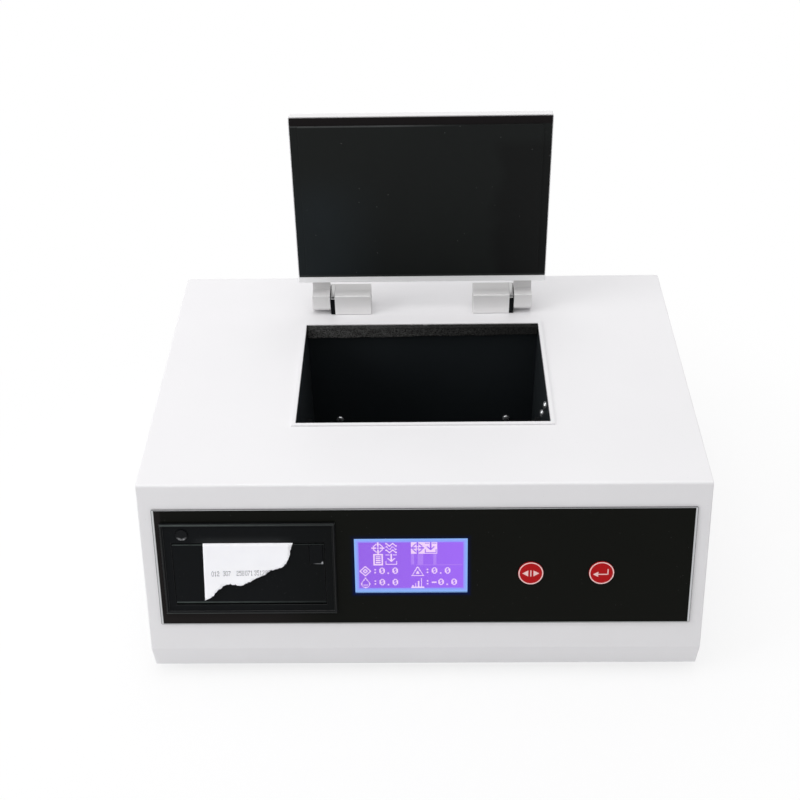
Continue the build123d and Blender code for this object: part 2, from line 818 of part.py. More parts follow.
with BuildPart() as foam_strip:
    with BuildSketch(Plane.XY.offset(case_top + 0.3)):
        with Locations((0, opening_back_y - foam_thickness / 2)):
            Rectangle(opening_width, foam_thickness)
    extrude(amount=-foam_height)
    fillet(foam_strip.edges().filter_by(Axis.X).group_by(Axis.Y)[0], 1)
keep(foam_strip, "foam_strip")

with BuildPart() as port_rings:
    for side in (-1, 1):
        inward = Plane(
            origin=(side * opening_width / 2, opening_y, beam_z),
            x_dir=(0, 1, 0),
            z_dir=(-side, 0, 0),
        )
        with BuildSketch(inward):
            Circle(port_ring_radius)
            Circle(port_radius - 1.5, mode=Mode.SUBTRACT)
        extrude(amount=port_ring_thickness)
        with BuildSketch(inward):
            Circle(port_radius + 1)
        extrude(amount=port_glass_thickness, mode=Mode.SUBTRACT)
    ring_face_x = opening_width / 2 - port_ring_thickness
    inner_rims = port_rings.edges().filter_by(lambda edge: abs(edge.center().X) < ring_face_x + touch_gap)
    chamfer(inner_rims, 0.5)
keep(port_rings, "port_rings")

with BuildPart() as port_glasses:
    for side in (-1, 1):
        with BuildSketch(Plane.YZ.offset(side * (opening_width / 2 - port_glass_thickness))):
            with Locations((opening_y, beam_z)):
                Circle(port_radius + 1 - touch_gap)
        extrude(amount=side * (port_glass_thickness - touch_gap))
keep(port_glasses, "port_glasses")

with BuildPart() as cell_holder:
    with BuildSketch(Plane.YZ):
        with Locations((opening_y, chamber_floor)):
            Rectangle(holder_width, holder_height, align=(Align.CENTER, Align.MIN))
        with Locations((opening_y, chamber_floor + holder_wall)):
            Rectangle(cell_slot_width, holder_height, align=(Align.CENTER, Align.MIN), mode=Mode.SUBTRACT)
        side_pocket = (holder_width - cell_slot_width) / 2 - holder_wall
        pocket_ys = [opening_y + side * (holder_width - side_pocket) / 2 for side in (-1, 1)]
        pocket_top = chamber_floor + holder_height - holder_pocket_drop
        with Locations(*[(pocket_y, pocket_top) for pocket_y in pocket_ys]):
            align_top = (Align.CENTER, Align.MAX)
            Rectangle(side_pocket, pocket_top - chamber_floor, align=align_top, mode=Mode.SUBTRACT)
    extrude(amount=holder_length / 2, both=True)
    with BuildSketch(Plane.XY.offset(chamber_floor)):
        with Locations(*holder_screw_places):
            Circle(small_screw + screw_gap)
    extrude(amount=holder_wall, mode=Mode.SUBTRACT)
keep(cell_holder, "cell_holder")

with BuildPart() as chamber_screws:
    for seat, places, length in (
        (Plane.XZ.offset(-opening_back_y), rear_fix_places, chamber_wall + sheet + chamber_screw_reach),
        (Plane.YZ.offset(opening_width / 2), wall_screw_places, chamber_wall + sheet + chamber_screw_reach),
        (Plane.XY.offset(chamber_floor + holder_wall), holder_screw_places, holder_wall),
    ):
        into_wall = 1 if seat.z_dir.X > 0 else -1
        with BuildSketch(seat):
            with Locations(*places):
                Circle(small_head)
        extrude(amount=-into_wall * screw_head)
        with BuildSketch(seat):
            with Locations(*places):
                Circle(small_screw)
        extrude(amount=into_wall * length)
keep(chamber_screws, "chamber_screws")

# ---------------------------------------------------------------- lamp and detector
lamp_x = -(chamber_outer_x + lamp_to_wall)
with BuildPart() as lens_tube:
    with BuildSketch(Plane.YZ.offset(-chamber_outer_x)):
        with Locations((opening_y, beam_z)):
            Circle(lens_radius + tube_wall)
            Circle(lens_radius + lens_gap, mode=Mode.SUBTRACT)
    extrude(amount=-tube_length)
    with BuildSketch(Plane.YZ.offset(-chamber_outer_x)):
        with Locations((opening_y, beam_z)):
            Rectangle(tube_flange, tube_flange)
            Circle(lens_radius + lens_gap, mode=Mode.SUBTRACT)
    extrude(amount=-tube_flange_thickness)
    with BuildSketch(Plane.YZ.offset(-chamber_outer_x)):
        with Locations((opening_y, beam_z)):
            Circle(lens_radius + lens_gap)
            Circle(lens_radius - lens_ledge, mode=Mode.SUBTRACT)
    extrude(amount=-tube_flange_thickness)
keep(lens_tube, "lens_tube")

with BuildPart() as condenser_lens:
    with BuildSketch(Plane.XZ.offset(-opening_y)):
        lens_front_x = -chamber_outer_x - tube_flange_thickness - touch_gap
        with BuildLine():
            lens_outline = Polyline(
                (lens_front_x - lens_edge, beam_z + lens_radius),
                (lens_front_x, beam_z + lens_radius),
                (lens_front_x, beam_z),
                (lens_front_x - lens_edge - lens_bulge, beam_z),
            )
            middle_of_arc = (lens_front_x - lens_edge - 0.72 * lens_bulge, beam_z + 0.55 * lens_radius)
            ThreePointArc(lens_outline @ 1, middle_of_arc, lens_outline @ 0)
        make_face()
    revolve(axis=Axis((0, opening_y, beam_z), (1, 0, 0)))
keep(condenser_lens, "condenser_lens")

lamp_bracket_height = beam_z - lamp_glass_length / 2 - lamp_base_height - tray_floor
with BuildPart() as lamp_bracket:
    with BuildSketch(Plane.XZ.offset(-opening_y)):
        with Locations((lamp_x, tray_floor)):
            Rectangle(lamp_foot_width, sheet, align=(Align.CENTER, Align.MIN))
            Rectangle(sheet, lamp_bracket_height, align=(Align.CENTER, Align.MIN))
        with Locations((lamp_x, tray_floor + lamp_bracket_height - sheet)):
            Rectangle(lamp_shelf_width, sheet, align=(Align.CENTER, Align.MIN))
    extrude(amount=lamp_bracket_length / 2, both=True)
keep(lamp_bracket, "lamp_bracket")

with BuildPart() as lamp_holder:
    with BuildSketch(Plane.XY.offset(tray_floor + lamp_bracket_height)):
        with Locations((lamp_x, opening_y)):
            RectangleRounded(lamp_base_width, lamp_base_length, 2)
    extrude(amount=lamp_base_height)
keep(lamp_holder, "lamp_holder")

with BuildPart() as halogen_lamp:
    lamp_bottom = tray_floor + lamp_bracket_height + lamp_base_height
    with BuildSketch(Plane.XY.offset(lamp_bottom)):
        with Locations((lamp_x, opening_y)):
            Circle(lamp_glass_radius)
    extrude(amount=lamp_glass_length)
    fillet(halogen_lamp.faces().sort_by(Axis.Z)[-1].edges(), lamp_glass_radius - 1)
keep(halogen_lamp, "halogen_lamp")

detector_plate_x = chamber_outer_x
with BuildPart() as detector_bracket:
    with BuildSketch(Plane.YZ.offset(detector_plate_x)):
        with Locations((opening_y, chamber_floor + detector_plate_margin)):
            Rectangle(detector_plate_width, detector_plate_height, align=(Align.CENTER, Align.MIN))
        with Locations((opening_y, beam_z)):
            Circle(port_radius, mode=Mode.SUBTRACT)
        with Locations(*wall_screw_places):
            Circle(small_screw + screw_gap, mode=Mode.SUBTRACT)
    extrude(amount=sheet)
keep(detector_bracket, "detector_bracket")

detector_face_x = detector_plate_x + sheet
with BuildPart() as detector_housing:
    with BuildSketch(Plane.YZ.offset(detector_face_x)):
        with Locations((opening_y, beam_z)):
            RectangleRounded(detector_size, detector_size, 3)
            Circle(port_radius, mode=Mode.SUBTRACT)
    extrude(amount=detector_length)
    with BuildSketch(Plane.YZ.offset(detector_face_x + detector_length)):
        with Locations((opening_y, beam_z)):
            Rectangle(detector_size - 2 * detector_rim, detector_size - 2 * detector_rim)
    extrude(amount=-detector_recess, mode=Mode.SUBTRACT)
keep(detector_housing, "detector_housing")

detector_board_size = detector_size - 2 * detector_rim - 2 * detector_board_gap
with BuildPart() as detector_board:
    with BuildSketch(Plane.YZ.offset(detector_face_x + detector_length - detector_recess)):
        with Locations((opening_y, beam_z)):
            Rectangle(detector_board_size, detector_board_size)
    extrude(amount=board)
    with BuildSketch(Plane.YZ.offset(detector_face_x + detector_length - detector_recess)):
        with Locations((opening_y, beam_z)):
            with GridLocations(sensor_spacing, sensor_spacing, 2, 2):
                Circle(sensor_radius)
    extrude(amount=-sensor_length)
    with BuildSketch(Plane.YZ.offset(detector_face_x + detector_length - detector_recess + board)):
        with Locations((opening_y, beam_z - detector_plug_drop)):
            Rectangle(*detector_plug)
    extrude(amount=detector_plug_height)
keep(detector_board, "detector_board")

# ================================================================ lid
lid_rear = -(axis_y - opening_back_y) + lid_overlap_back
lid_front = lid_rear - lid_length
lid_inner_face = lid_gap - axis_height
liner_total = liner_thickness + pad_thickness
tray_face = lid_inner_face + liner_total
lid_outer_face = tray_face + lid_body
lid_middle = (lid_front + lid_rear) / 2
arm_screw_ys = [lid_rear - inset for inset in arm_screw_insets]
arm_screw_xs = [side * (knuckle_inner_x + knuckle_width / 2) for side in (-1, 1)]
arm_screw_places = [(x, y) for x in arm_screw_xs for y in arm_screw_ys]

with BuildPart() as lid_shell:
    with BuildSketch(on_lid(0, lid_middle, tray_face)):
        Rectangle(lid_width, lid_length)
    extrude(amount=lid_body)
    fillet(lid_shell.edges().filter_by(Axis(lid_plane.origin, lid_plane.z_dir)), 1.2)
    with BuildSketch(on_lid(0, lid_middle, tray_face)):
        Rectangle(lid_width - 2 * lid_skin, lid_length - 2 * lid_skin)
    extrude(amount=lid_body - lid_skin, mode=Mode.SUBTRACT)
    with BuildSketch(on_lid(0, lid_rear - hem_width / 2, tray_face)):
        Rectangle(lid_width, hem_width)
    extrude(amount=-liner_thickness)
    with BuildSketch(on_lid(0, 0, lid_outer_face)):
        with Locations(*arm_screw_places):
            Circle(small_screw + screw_gap)
    extrude(amount=-lid_skin, mode=Mode.SUBTRACT)
keep(lid_shell, "lid_shell")

liner_rear = lid_rear - hem_width - touch_gap
liner_front = lid_front + liner_inset
pad_front = liner_front + pad_inset
pad_rear = liner_rear - pad_rear_inset
with BuildPart() as lid_liner:
    with BuildSketch(on_lid(0, (liner_rear + liner_front) / 2, tray_face)):
        Rectangle(lid_width - 2 * liner_inset, liner_rear - liner_front)
    extrude(amount=-liner_thickness)
    with BuildSketch(on_lid(0, (pad_front + pad_rear) / 2, tray_face - liner_thickness)):
        RectangleRounded(lid_width - 2 * (liner_inset + pad_inset), pad_rear - pad_front, 1.5)
    extrude(amount=-pad_thickness)
keep(lid_liner, "lid_liner")

with BuildPart() as lid_screws:
    with BuildSketch(on_lid(0, 0, lid_outer_face + arm_thickness)):
        with Locations(*arm_screw_places):
            Circle(small_head)
    extrude(amount=screw_head)
    with BuildSketch(on_lid(0, 0, lid_outer_face + arm_thickness)):
        with Locations(*arm_screw_places):
            Circle(small_screw)
    extrude(amount=-(arm_thickness + lid_skin + lid_screw_reach))
keep(lid_screws, "lid_screws")

# ---------------------------------------------------------------- hinges
for side_name, side in hinge_sides.items():
    block_middle = side * (block_inner_x + block_width / 2)
    knuckle_middle = side * (knuckle_inner_x + knuckle_width / 2)
    with BuildPart() as hinge_base:
        with BuildSketch(Plane.XY.offset(case_top)):
            with Locations((block_middle, axis_y)):
                Rectangle(block_width, block_size)
        extrude(amount=block_size)
        chamfer(hinge_base.edges().filter_by(Axis.X), 0.5)
        with BuildSketch(Plane.YZ.offset(block_middle)):
            with Locations((axis_y, axis_z)):
                Circle(pin_radius + touch_gap)
        extrude(amount=block_width / 2, both=True, mode=Mode.SUBTRACT)
        with BuildSketch(Plane.XY.offset(case_top)):
            with Locations(*[(side * x, axis_y) for x in hinge_screw_xs]):
                Circle(large_screw + screw_gap)
        extrude(amount=hinge_screw_length + screw_gap, mode=Mode.SUBTRACT)
    keep(hinge_base, f"hinge_base_{side_name}")

    with BuildPart() as hinge_arm:
        knuckle_top = block_size - axis_height
        knuckle_reach = axis_height - knuckle_clearance
        with BuildSketch(Plane.YZ.offset(knuckle_middle)):
            with Locations((axis_y, axis_z)):
                Circle(knuckle_reach)
                Rectangle(block_size, knuckle_top, align=(Align.CENTER, Align.MIN))
            with Locations((axis_y, axis_z - axis_height / 2 + knuckle_top / 2)):
                Rectangle(block_size, axis_height + knuckle_top, mode=Mode.INTERSECT)
        extrude(amount=knuckle_width / 2, both=True)
        with BuildSketch(lid_side.offset(knuckle_middle)):
            with Locations((0, lid_outer_face)):
                Rectangle(arm_length, arm_thickness, align=(Align.MAX, Align.MIN))
        extrude(amount=knuckle_width / 2, both=True)
        with BuildSketch(Plane.YZ.offset(knuckle_middle)):
            with Locations((axis_y, axis_z)):
                Circle(pin_radius + touch_gap)
        extrude(amount=knuckle_width / 2, both=True, mode=Mode.SUBTRACT)
        with BuildSketch(on_lid(0, 0, lid_outer_face)):
            with Locations(*[(knuckle_middle, y) for y in arm_screw_ys]):
                Circle(small_screw + screw_gap)
        extrude(amount=arm_thickness, mode=Mode.SUBTRACT)
    keep(hinge_arm, f"hinge_arm_{side_name}")

with BuildPart() as hinge_pins:
    for side in hinge_sides.values():
        with BuildSketch(Plane.YZ.offset(side * (block_inner_x + 1))):
            with Locations((axis_y, axis_z)):
                Circle(pin_radius)
        extrude(amount=side * (knuckle_outer_x - block_inner_x - 1.5))
        with BuildSketch(Plane.YZ.offset(side * block_outer_x)):
            with Locations((axis_y, axis_z)):
                Circle(collar_radius)
        extrude(amount=side * collar_thickness)
keep(hinge_pins, "hinge_pins")

with BuildPart() as hinge_screws:
    for x in [side * x for side in hinge_sides.values() for x in hinge_screw_xs]:
        with BuildSketch(Plane.XY.offset(case_top - sheet)):
            with Locations((x, axis_y)):
                Circle(large_head)
        extrude(amount=-large_screw_head)
        with BuildSketch(Plane.XY.offset(case_top - sheet)):
            with Locations((x, axis_y)):
                Circle(large_screw)
        extrude(amount=sheet + hinge_screw_length)
keep(hinge_screws, "hinge_screws")

# ================================================================ front panel
with BuildPart() as front_panel:
    with BuildSketch(on_slope(0, 0, 0)):
        with Locations((0, -panel_center_down)):
            RectangleRounded(panel_width, panel_height, panel_corner)
        with Locations((display_x, -display_down)):
            Rectangle(display_width, display_height, mode=Mode.SUBTRACT)
        with Locations((printer_x, -printer_down)):
            Rectangle(housing_width + fit_gap, housing_height + fit_gap, mode=Mode.SUBTRACT)
        with Locations((select_x, -button_down), (confirm_x, -button_down)):
            Circle(button_radius + button_gap, mode=Mode.SUBTRACT)
    extrude(amount=overlay)
keep(front_panel, "front_panel")

with BuildPart() as display_window:
    with BuildSketch(on_slope(display_x, display_down, 0)):
        Rectangle(display_width - 2 * touch_gap, display_height - 2 * touch_gap)
    extrude(amount=overlay)
keep(display_window, "display_window")

with BuildPart() as display_frame:
    with BuildSketch(on_slope(display_x, display_down, -sheet)):
        Rectangle(display_frame_width, display_frame_height)
        Rectangle(display_width, display_height, mode=Mode.SUBTRACT)
    extrude(amount=-1)
    with BuildSketch(on_slope(display_x, display_down, -sheet - 1)):
        Rectangle(display_frame_width, display_frame_height)
        Rectangle(display_frame_width - 2, display_frame_height - 2, mode=Mode.SUBTRACT)
    extrude(amount=-(display_frame_depth - 1))
keep(display_frame, "display_frame")

with BuildPart() as display_glass:
    with BuildSketch(on_slope(display_x, display_down, -sheet - 1)):
        Rectangle(display_frame_width - 2.4, display_frame_height - 2.4)
    extrude(amount=-2.8)
keep(display_glass, "display_glass")

display_board_out = -sheet - display_frame_depth
with BuildPart() as display_board:
    with BuildSketch(on_slope(display_x, display_down, display_board_out)):
        Rectangle(display_board_width, display_board_height)
        with Locations(*display_posts):
            Circle(spacer_stud + screw_gap, mode=Mode.SUBTRACT)
    extrude(amount=-board)
    with BuildSketch(on_slope(display_x, display_down, display_board_out - board)):
        with GridLocations(22, 20, 3, 2):
            Rectangle(9, 9)
    extrude(amount=-2)
keep(display_board, "display_board")

# ---------------------------------------------------------------- keys
button_face = overlay + button_proud
button_back = -sheet - button_play
flange_back = button_back - button_flange
stem_end = flange_back - stem_length
plunger_end = stem_end - button_travel - button_play
key_board_face = plunger_end - plunger_height - key_body_height
for label, button_x in (("select_button", select_x), ("confirm_button", confirm_x)):
    with BuildPart() as button:
        with BuildSketch(on_slope(button_x, button_down, button_face)):
            Circle(button_radius)
        extrude(amount=-(button_face - button_back))
        fillet(button.edges().sort_by(height_above_slope)[-1], 0.4)
        with BuildSketch(on_slope(button_x, button_down, button_back)):
            Circle(button_radius + flange_overlap)
        extrude(amount=-button_flange)
        with BuildSketch(on_slope(button_x, button_down, flange_back)):
            Circle(stem_radius)
        extrude(amount=-stem_length)
    keep(button, label)

with BuildPart() as key_board:
    with BuildSketch(on_slope(key_board_x, button_down, key_board_face)):
        Rectangle(key_board_width, key_board_height)
        with Locations(*key_posts):
            Circle(spacer_stud + screw_gap, mode=Mode.SUBTRACT)
    extrude(amount=-board)
    for button_x in (select_x, confirm_x):
        with BuildSketch(on_slope(button_x, button_down, key_board_face)):
            Rectangle(key_body, key_body)
        extrude(amount=key_body_height)
        with BuildSketch(on_slope(button_x, button_down, key_board_face + key_body_height)):
            Circle(plunger_radius)
        extrude(amount=plunger_height)
keep(key_board, "key_board")

# ================================================================ printer
bezel_face = overlay + bezel_proud
door_face = bezel_face - bezel_step
hole_top = door_top - slot_height
hole_bottom = door_bottom + door_gap
hole_height = hole_bottom - hole_top
hole_middle = (hole_top + hole_bottom) / 2
hinge_down = door_bottom - door_thickness / 2
hinge_out = door_face - door_thickness / 2
housing_inner_x = housing_width / 2 - housing_wall
pin_end_x = housing_inner_x + housing_wall / 2


def in_printer(x, down, out):
    """Plane on the slope, with x measured from the printer's middle."""
    return on_slope(printer_x + x, down, out)


def printer_side(x, down, out):
    """Plane across the printer, facing right, with its x up the slope and its y out of the case."""
    middle = in_printer(x, down, out)
    return Plane(origin=middle.origin, x_dir=slope.y_dir, z_dir=slope.x_dir)


with BuildPart() as printer_frame:
    with BuildSketch(in_printer(0, printer_down, overlay)):
        Rectangle(bezel_width, bezel_height)
    extrude(amount=bezel_proud)
    with BuildSketch(in_printer(0, printer_down, bezel_face)):
        Rectangle(bezel_width - 2 * bezel_rim, bezel_height - 2 * bezel_rim)
    extrude(amount=-bezel_step, mode=Mode.SUBTRACT)
    chamfer(printer_frame.edges().group_by(height_above_slope)[-1], 0.8)
    with BuildSketch(in_printer(0, printer_down, overlay)):
        Rectangle(housing_width, housing_height)
    extrude(amount=-housing_depth)
    with BuildSketch(in_printer(0, printer_down, overlay)):
        Rectangle(housing_width - 2 * housing_wall, housing_height - 2 * housing_wall)
    extrude(amount=-(housing_depth - housing_wall), mode=Mode.SUBTRACT)
    with BuildSketch(in_printer(0, hole_middle, bezel_face)):
        Rectangle(door_width + 2 * door_gap, hole_height)
    extrude(amount=-bezel_face, mode=Mode.SUBTRACT)
    with BuildSketch(in_printer(feed_x, feed_down, bezel_face)):
        Circle(feed_radius + 0.25)
    extrude(amount=-(bezel_face - overlay + feed_travel), mode=Mode.SUBTRACT)
    with BuildSketch(printer_side(0, hinge_down, hinge_out)):
        Circle(door_pin_radius + touch_gap)
    extrude(amount=pin_end_x + touch_gap, both=True, mode=Mode.SUBTRACT)
keep(printer_frame, "printer_frame")

roller_center = (door_top + roller_down, -roller_back)
ear_start = roller_length / 2 + roller_play
with BuildPart() as printer_door:
    with BuildSketch(printer_side(0, hinge_down, hinge_out)):
        with BuildLine():
            half = door_thickness / 2
            door_line = Polyline(
                (0, half),
                (door_height - half, half),
                (door_height - half, -half),
                (0, -half),
            )
            ThreePointArc(door_line @ 1, (-half, 0), door_line @ 0)
        make_face()
    extrude(amount=door_width / 2, both=True)
    with BuildSketch(in_printer(latch_x, latch_down, door_face)):
        Rectangle(latch_width + 0.5, latch_height + 0.5)
    extrude(amount=-(latch_thickness + latch_travel + screw_gap), mode=Mode.SUBTRACT)
    ear_reach = roller_back + door_face - door_thickness
    for side in (-1, 1):
        with BuildSketch(printer_side(side * ear_start, roller_center[0], roller_center[1])):
            Circle(roller_radius)
            with Locations((0, ear_reach / 2)):
                Rectangle(2 * roller_radius, ear_reach)
        extrude(amount=side * ear_thickness)
    with BuildSketch(printer_side(0, roller_center[0], roller_center[1])):
        Circle(roller_shaft_radius + touch_gap)
    extrude(amount=ear_start + ear_thickness, both=True, mode=Mode.SUBTRACT)
    for side in (-1, 1):
        with BuildSketch(printer_side(side * (door_width / 2 - 2), hinge_down, hinge_out)):
            Circle(door_pin_radius)
        extrude(amount=side * (pin_end_x - door_width / 2 + 2))
keep(printer_door, "printer_door")

with BuildPart() as door_latch:
    with BuildSketch(in_printer(latch_x, latch_down, door_face + 0.3)):
        Rectangle(latch_width, latch_height)
    extrude(amount=-latch_thickness - 0.3)
    chamfer(door_latch.faces().sort_by(height_above_slope)[-1].edges(), 0.3)
keep(door_latch, "door_latch")

with BuildPart() as feed_button:
    with BuildSketch(in_printer(feed_x, feed_down, door_face + feed_proud)):
        Circle(feed_radius)
    extrude(amount=-(door_face + feed_proud - overlay - feed_clear))
    fillet(feed_button.edges().sort_by(height_above_slope)[-1], 0.4)
    with BuildSketch(in_printer(feed_x, feed_down, overlay + feed_clear)):
        Circle(feed_stem_radius)
    extrude(amount=-feed_stem_length)
keep(feed_button, "feed_button")

with BuildPart() as print_head:
    head_top = printer_top + housing_wall
    head_face = roller_center[0] - roller_radius - head_gap
    with BuildSketch(in_printer(0, (head_top + head_face) / 2, -head_back)):
        Rectangle(roller_length + 2 * head_end, head_face - head_top)
    extrude(amount=-head_depth)
keep(print_head, "print_head")

with BuildPart() as tear_bar:
    tooth_pitch = roller_length / bar_teeth
    tooth_tip = hole_top - bar_to_hole
    tooth_root = tooth_tip - bar_tooth_height
    bar_top = printer_top + housing_wall + bar_to_housing
    edge_points = [(roller_length / 2, -bar_top), (-roller_length / 2, -bar_top)]
    for tooth in range(bar_teeth):
        left = -roller_length / 2 + tooth * tooth_pitch
        edge_points.append((left, -tooth_root))
        edge_points.append((left + tooth_pitch / 2, -tooth_tip))
    edge_points.append((roller_length / 2, -tooth_root))
    with BuildSketch(on_slope(printer_x, 0, overlay)):
        with BuildLine():
            Polyline(*edge_points, close=True)
        make_face()
    extrude(amount=-bar_thickness)
keep(tear_bar, "tear_bar")

with BuildPart() as platen_roller:
    with BuildSketch(printer_side(0, roller_center[0], roller_center[1])):
        Circle(roller_radius)
        Circle(roller_shaft_radius, mode=Mode.SUBTRACT)
    extrude(amount=roller_length / 2, both=True)
keep(platen_roller, "platen_roller")

shaft_end = ear_start + ear_thickness
gear_start = shaft_end + roller_play
with BuildPart() as platen_shaft:
    with BuildSketch(printer_side(-shaft_end, roller_center[0], roller_center[1])):
        Circle(roller_shaft_radius)
    extrude(amount=shaft_end + gear_start)
    with BuildSketch(printer_side(gear_start, roller_center[0], roller_center[1])):
        with BuildLine():
            Polyline(*gear_profile(platen_teeth, gear_module), close=True)
        make_face()
    extrude(amount=gear_width)
keep(platen_shaft, "platen_shaft")

# The drive gear lies straight behind the platen gear: a tooth of it stands in a gap of the other.
gear_distance = gear_module * (platen_teeth + drive_teeth) / 2 + gear_slack
drive_center = (roller_center[0], roller_center[1] - gear_distance)
with BuildPart() as drive_gear:
    with BuildSketch(printer_side(gear_start, drive_center[0], drive_center[1])):
        with BuildLine():
            Polyline(*gear_profile(drive_teeth, gear_module), close=True)
        make_face()
    extrude(amount=gear_width)
    with BuildSketch(printer_side(gear_start + gear_width, drive_center[0], drive_center[1])):
        Circle(motor_shaft_radius)
    extrude(amount=drive_hub_length)
keep(drive_gear, "drive_gear")

with BuildPart() as feed_motor:
    motor_start = gear_start + gear_width + motor_gap
    with BuildSketch(printer_side(motor_start, drive_center[0], drive_center[1])):
        Circle(motor_radius)
        Circle(motor_shaft_radius + touch_gap, mode=Mode.SUBTRACT)
    extrude(amount=housing_inner_x - motor_start)
keep(feed_motor, "feed_motor")

roll_center = (door_top + roll_center_below_door_top, -roll_center_back)
with BuildPart() as paper_roll:
    with BuildSketch(printer_side(0, roll_center[0], roll_center[1])):
        Circle(roll_radius)
        Circle(roll_core_radius, mode=Mode.SUBTRACT)
    extrude(amount=paper_width / 2, both=True)
keep(paper_roll, "paper_roll")

# Torn strip that hangs out of the slot: x from the strip's left edge, then down from the slot.
paper_left = -paper_width / 2
torn_edge = [
    (57.0, 0.0),
    (54.3, 9.0),
    (52.8, 14.0),
    (49.7, 16.8),
    (45.8, 18.2),
    (40.9, 19.7),
    (38.3, 21.9),
    (30.7, 25.8),
    (25.7, 28.6),
    (21.8, 29.7),
    (16.3, 28.8),
    (12.0, 29.3),
    (7.5, 33.4),
    (4.2, 37.6),
    (-1.0, 39.8),
]
paper_out = door_face + 0.5
paper_down = door_top - 0.6
with BuildPart() as paper_strip:
    with BuildSketch(in_printer(paper_left, paper_down, paper_out)):
        with BuildLine():
            Polyline((0, 0), *[(x, -down) for x, down in torn_edge], close=True)
        make_face()
    extrude(amount=paper_thickness)
    with BuildSketch(in_printer(0, paper_down, paper_out + paper_thickness)):
        Rectangle(paper_width, paper_thickness, align=(Align.CENTER, Align.MIN))
    extrude(amount=-(paper_out + paper_thickness + 1.5))
keep(paper_strip, "paper_strip")

# ================================================================ electronics on the tray
main_board_x = inner_half_width - board_to_side - main_board_width / 2
main_board_y = front_y + board_to_front + main_board_length / 2
post_x = main_board_width / 2 - board_post_inset
post_y = main_board_length / 2 - board_post_inset
main_board_posts = [
    (main_board_x + side * post_x, main_board_y + end * post_y) for side in (-1, 1) for end in (-1, 1)
]
with BuildPart() as main_board:
    board_z = tray_floor + board_post_height
    with BuildSketch(Plane.XY.offset(board_z)):
        with Locations((main_board_x, main_board_y)):
            Rectangle(main_board_width, main_board_length)
        with Locations(*main_board_posts):
            Circle(spacer_stud + screw_gap, mode=Mode.SUBTRACT)
    extrude(amount=board)
    for size, place, height in main_board_parts:
        with BuildSketch(Plane.XY.offset(board_z + board)):
            with Locations((main_board_x + place[0], main_board_y + place[1])):
                Rectangle(*size)
        extrude(amount=height)
keep(main_board, "main_board")

with BuildPart() as board_spacers:
    for seat, places, length in (
        (on_slope(display_x, display_down, -sheet), display_posts, -display_frame_depth),
        (on_slope(key_board_x, button_down, -sheet), key_posts, key_board_face + sheet),
        (Plane.XY.offset(tray_floor), main_board_posts, board_post_height),
    ):
        stud = stud_proud + board if length > 0 else -stud_proud - board
        with BuildSketch(seat):
            with Locations(*places):
                RegularPolygon(spacer_radius, 6)
        extrude(amount=length)
        with BuildSketch(seat.offset(length)):
            with Locations(*places):
                Circle(spacer_stud)
        extrude(amount=stud)
keep(board_spacers, "board_spacers")

supply_x = inner_half_width - supply_to_side - supply_width / 2
supply_y = bracket_front_y - supply_gap - supply_length / 2
with BuildPart() as power_supply:
    with BuildSketch(Plane.XY.offset(tray_floor)):
        with Locations((supply_x, supply_y)):
            Rectangle(supply_width, supply_length)
    extrude(amount=supply_height)
    chamfer(power_supply.edges().filter_by(Axis.Z), 1)
    with BuildSketch(Plane.XY.offset(tray_floor + supply_height)):
        with Locations((supply_x, supply_y)):
            with GridLocations(8, 8, 7, 4):
                Circle(2)
    extrude(amount=-1, mode=Mode.SUBTRACT)
keep(power_supply, "power_supply")

os.makedirs("parts", exist_ok=True)
for piece in parts:
    export_step(piece, f"parts/{piece.label}.step")
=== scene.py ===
"""Looks of a benchtop colorimeter: a white case with a sloped front and an open lid over its chamber."""

import json
import math

import bmesh
import bpy
from bpy.props import FloatProperty, FloatVectorProperty, PointerProperty
from bpy.types import Operator, Panel, PropertyGroup
from mathutils import Matrix, Vector, noise
from mathutils.bvhtree import BVHTree


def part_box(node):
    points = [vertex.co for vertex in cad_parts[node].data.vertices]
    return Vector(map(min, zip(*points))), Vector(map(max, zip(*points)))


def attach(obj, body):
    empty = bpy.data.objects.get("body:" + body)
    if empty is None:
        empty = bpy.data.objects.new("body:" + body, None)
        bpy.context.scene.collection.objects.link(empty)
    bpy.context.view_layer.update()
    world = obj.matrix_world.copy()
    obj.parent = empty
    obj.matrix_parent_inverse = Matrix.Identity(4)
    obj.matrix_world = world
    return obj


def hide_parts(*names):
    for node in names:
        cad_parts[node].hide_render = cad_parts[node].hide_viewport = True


bl_info = {
    "name": "Benchtop colorimeter",
    "version": (1, 0, 0),
    "blender": (4, 5, 0),
    "location": "View3D > Sidebar > Colorimeter",
    "description": "Finishes the pieces of a benchtop colorimeter",
    "category": "Object",
}

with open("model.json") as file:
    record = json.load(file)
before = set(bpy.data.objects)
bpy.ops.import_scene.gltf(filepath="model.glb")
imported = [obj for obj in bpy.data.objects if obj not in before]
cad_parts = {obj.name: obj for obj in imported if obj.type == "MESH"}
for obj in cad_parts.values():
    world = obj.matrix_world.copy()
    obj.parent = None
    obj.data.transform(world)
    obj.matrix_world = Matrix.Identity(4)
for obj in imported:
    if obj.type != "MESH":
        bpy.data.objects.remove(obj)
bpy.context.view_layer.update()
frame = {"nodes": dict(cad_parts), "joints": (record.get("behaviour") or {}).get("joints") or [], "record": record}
nodes = frame["nodes"]
joints = {joint["name"]: joint for joint in frame["joints"]}
bodies = frame["record"]["behaviour"]["bodies"]
slot_of = {part["node"]: part["material_slot"] for part in frame["record"]["subparts"]}

slot_finishes = {}

MM = 0.001
HAIR = 0.001 * MM  # points nearer than this count as one


# ---------------------------------------------------------------- settings
def length(name, description, millimetres):
    return FloatProperty(
        name=name, description=description, default=millimetres * MM, unit="LENGTH", precision=5
    )


def number(name, description, default):
    return FloatProperty(name=name, description=description, default=default)


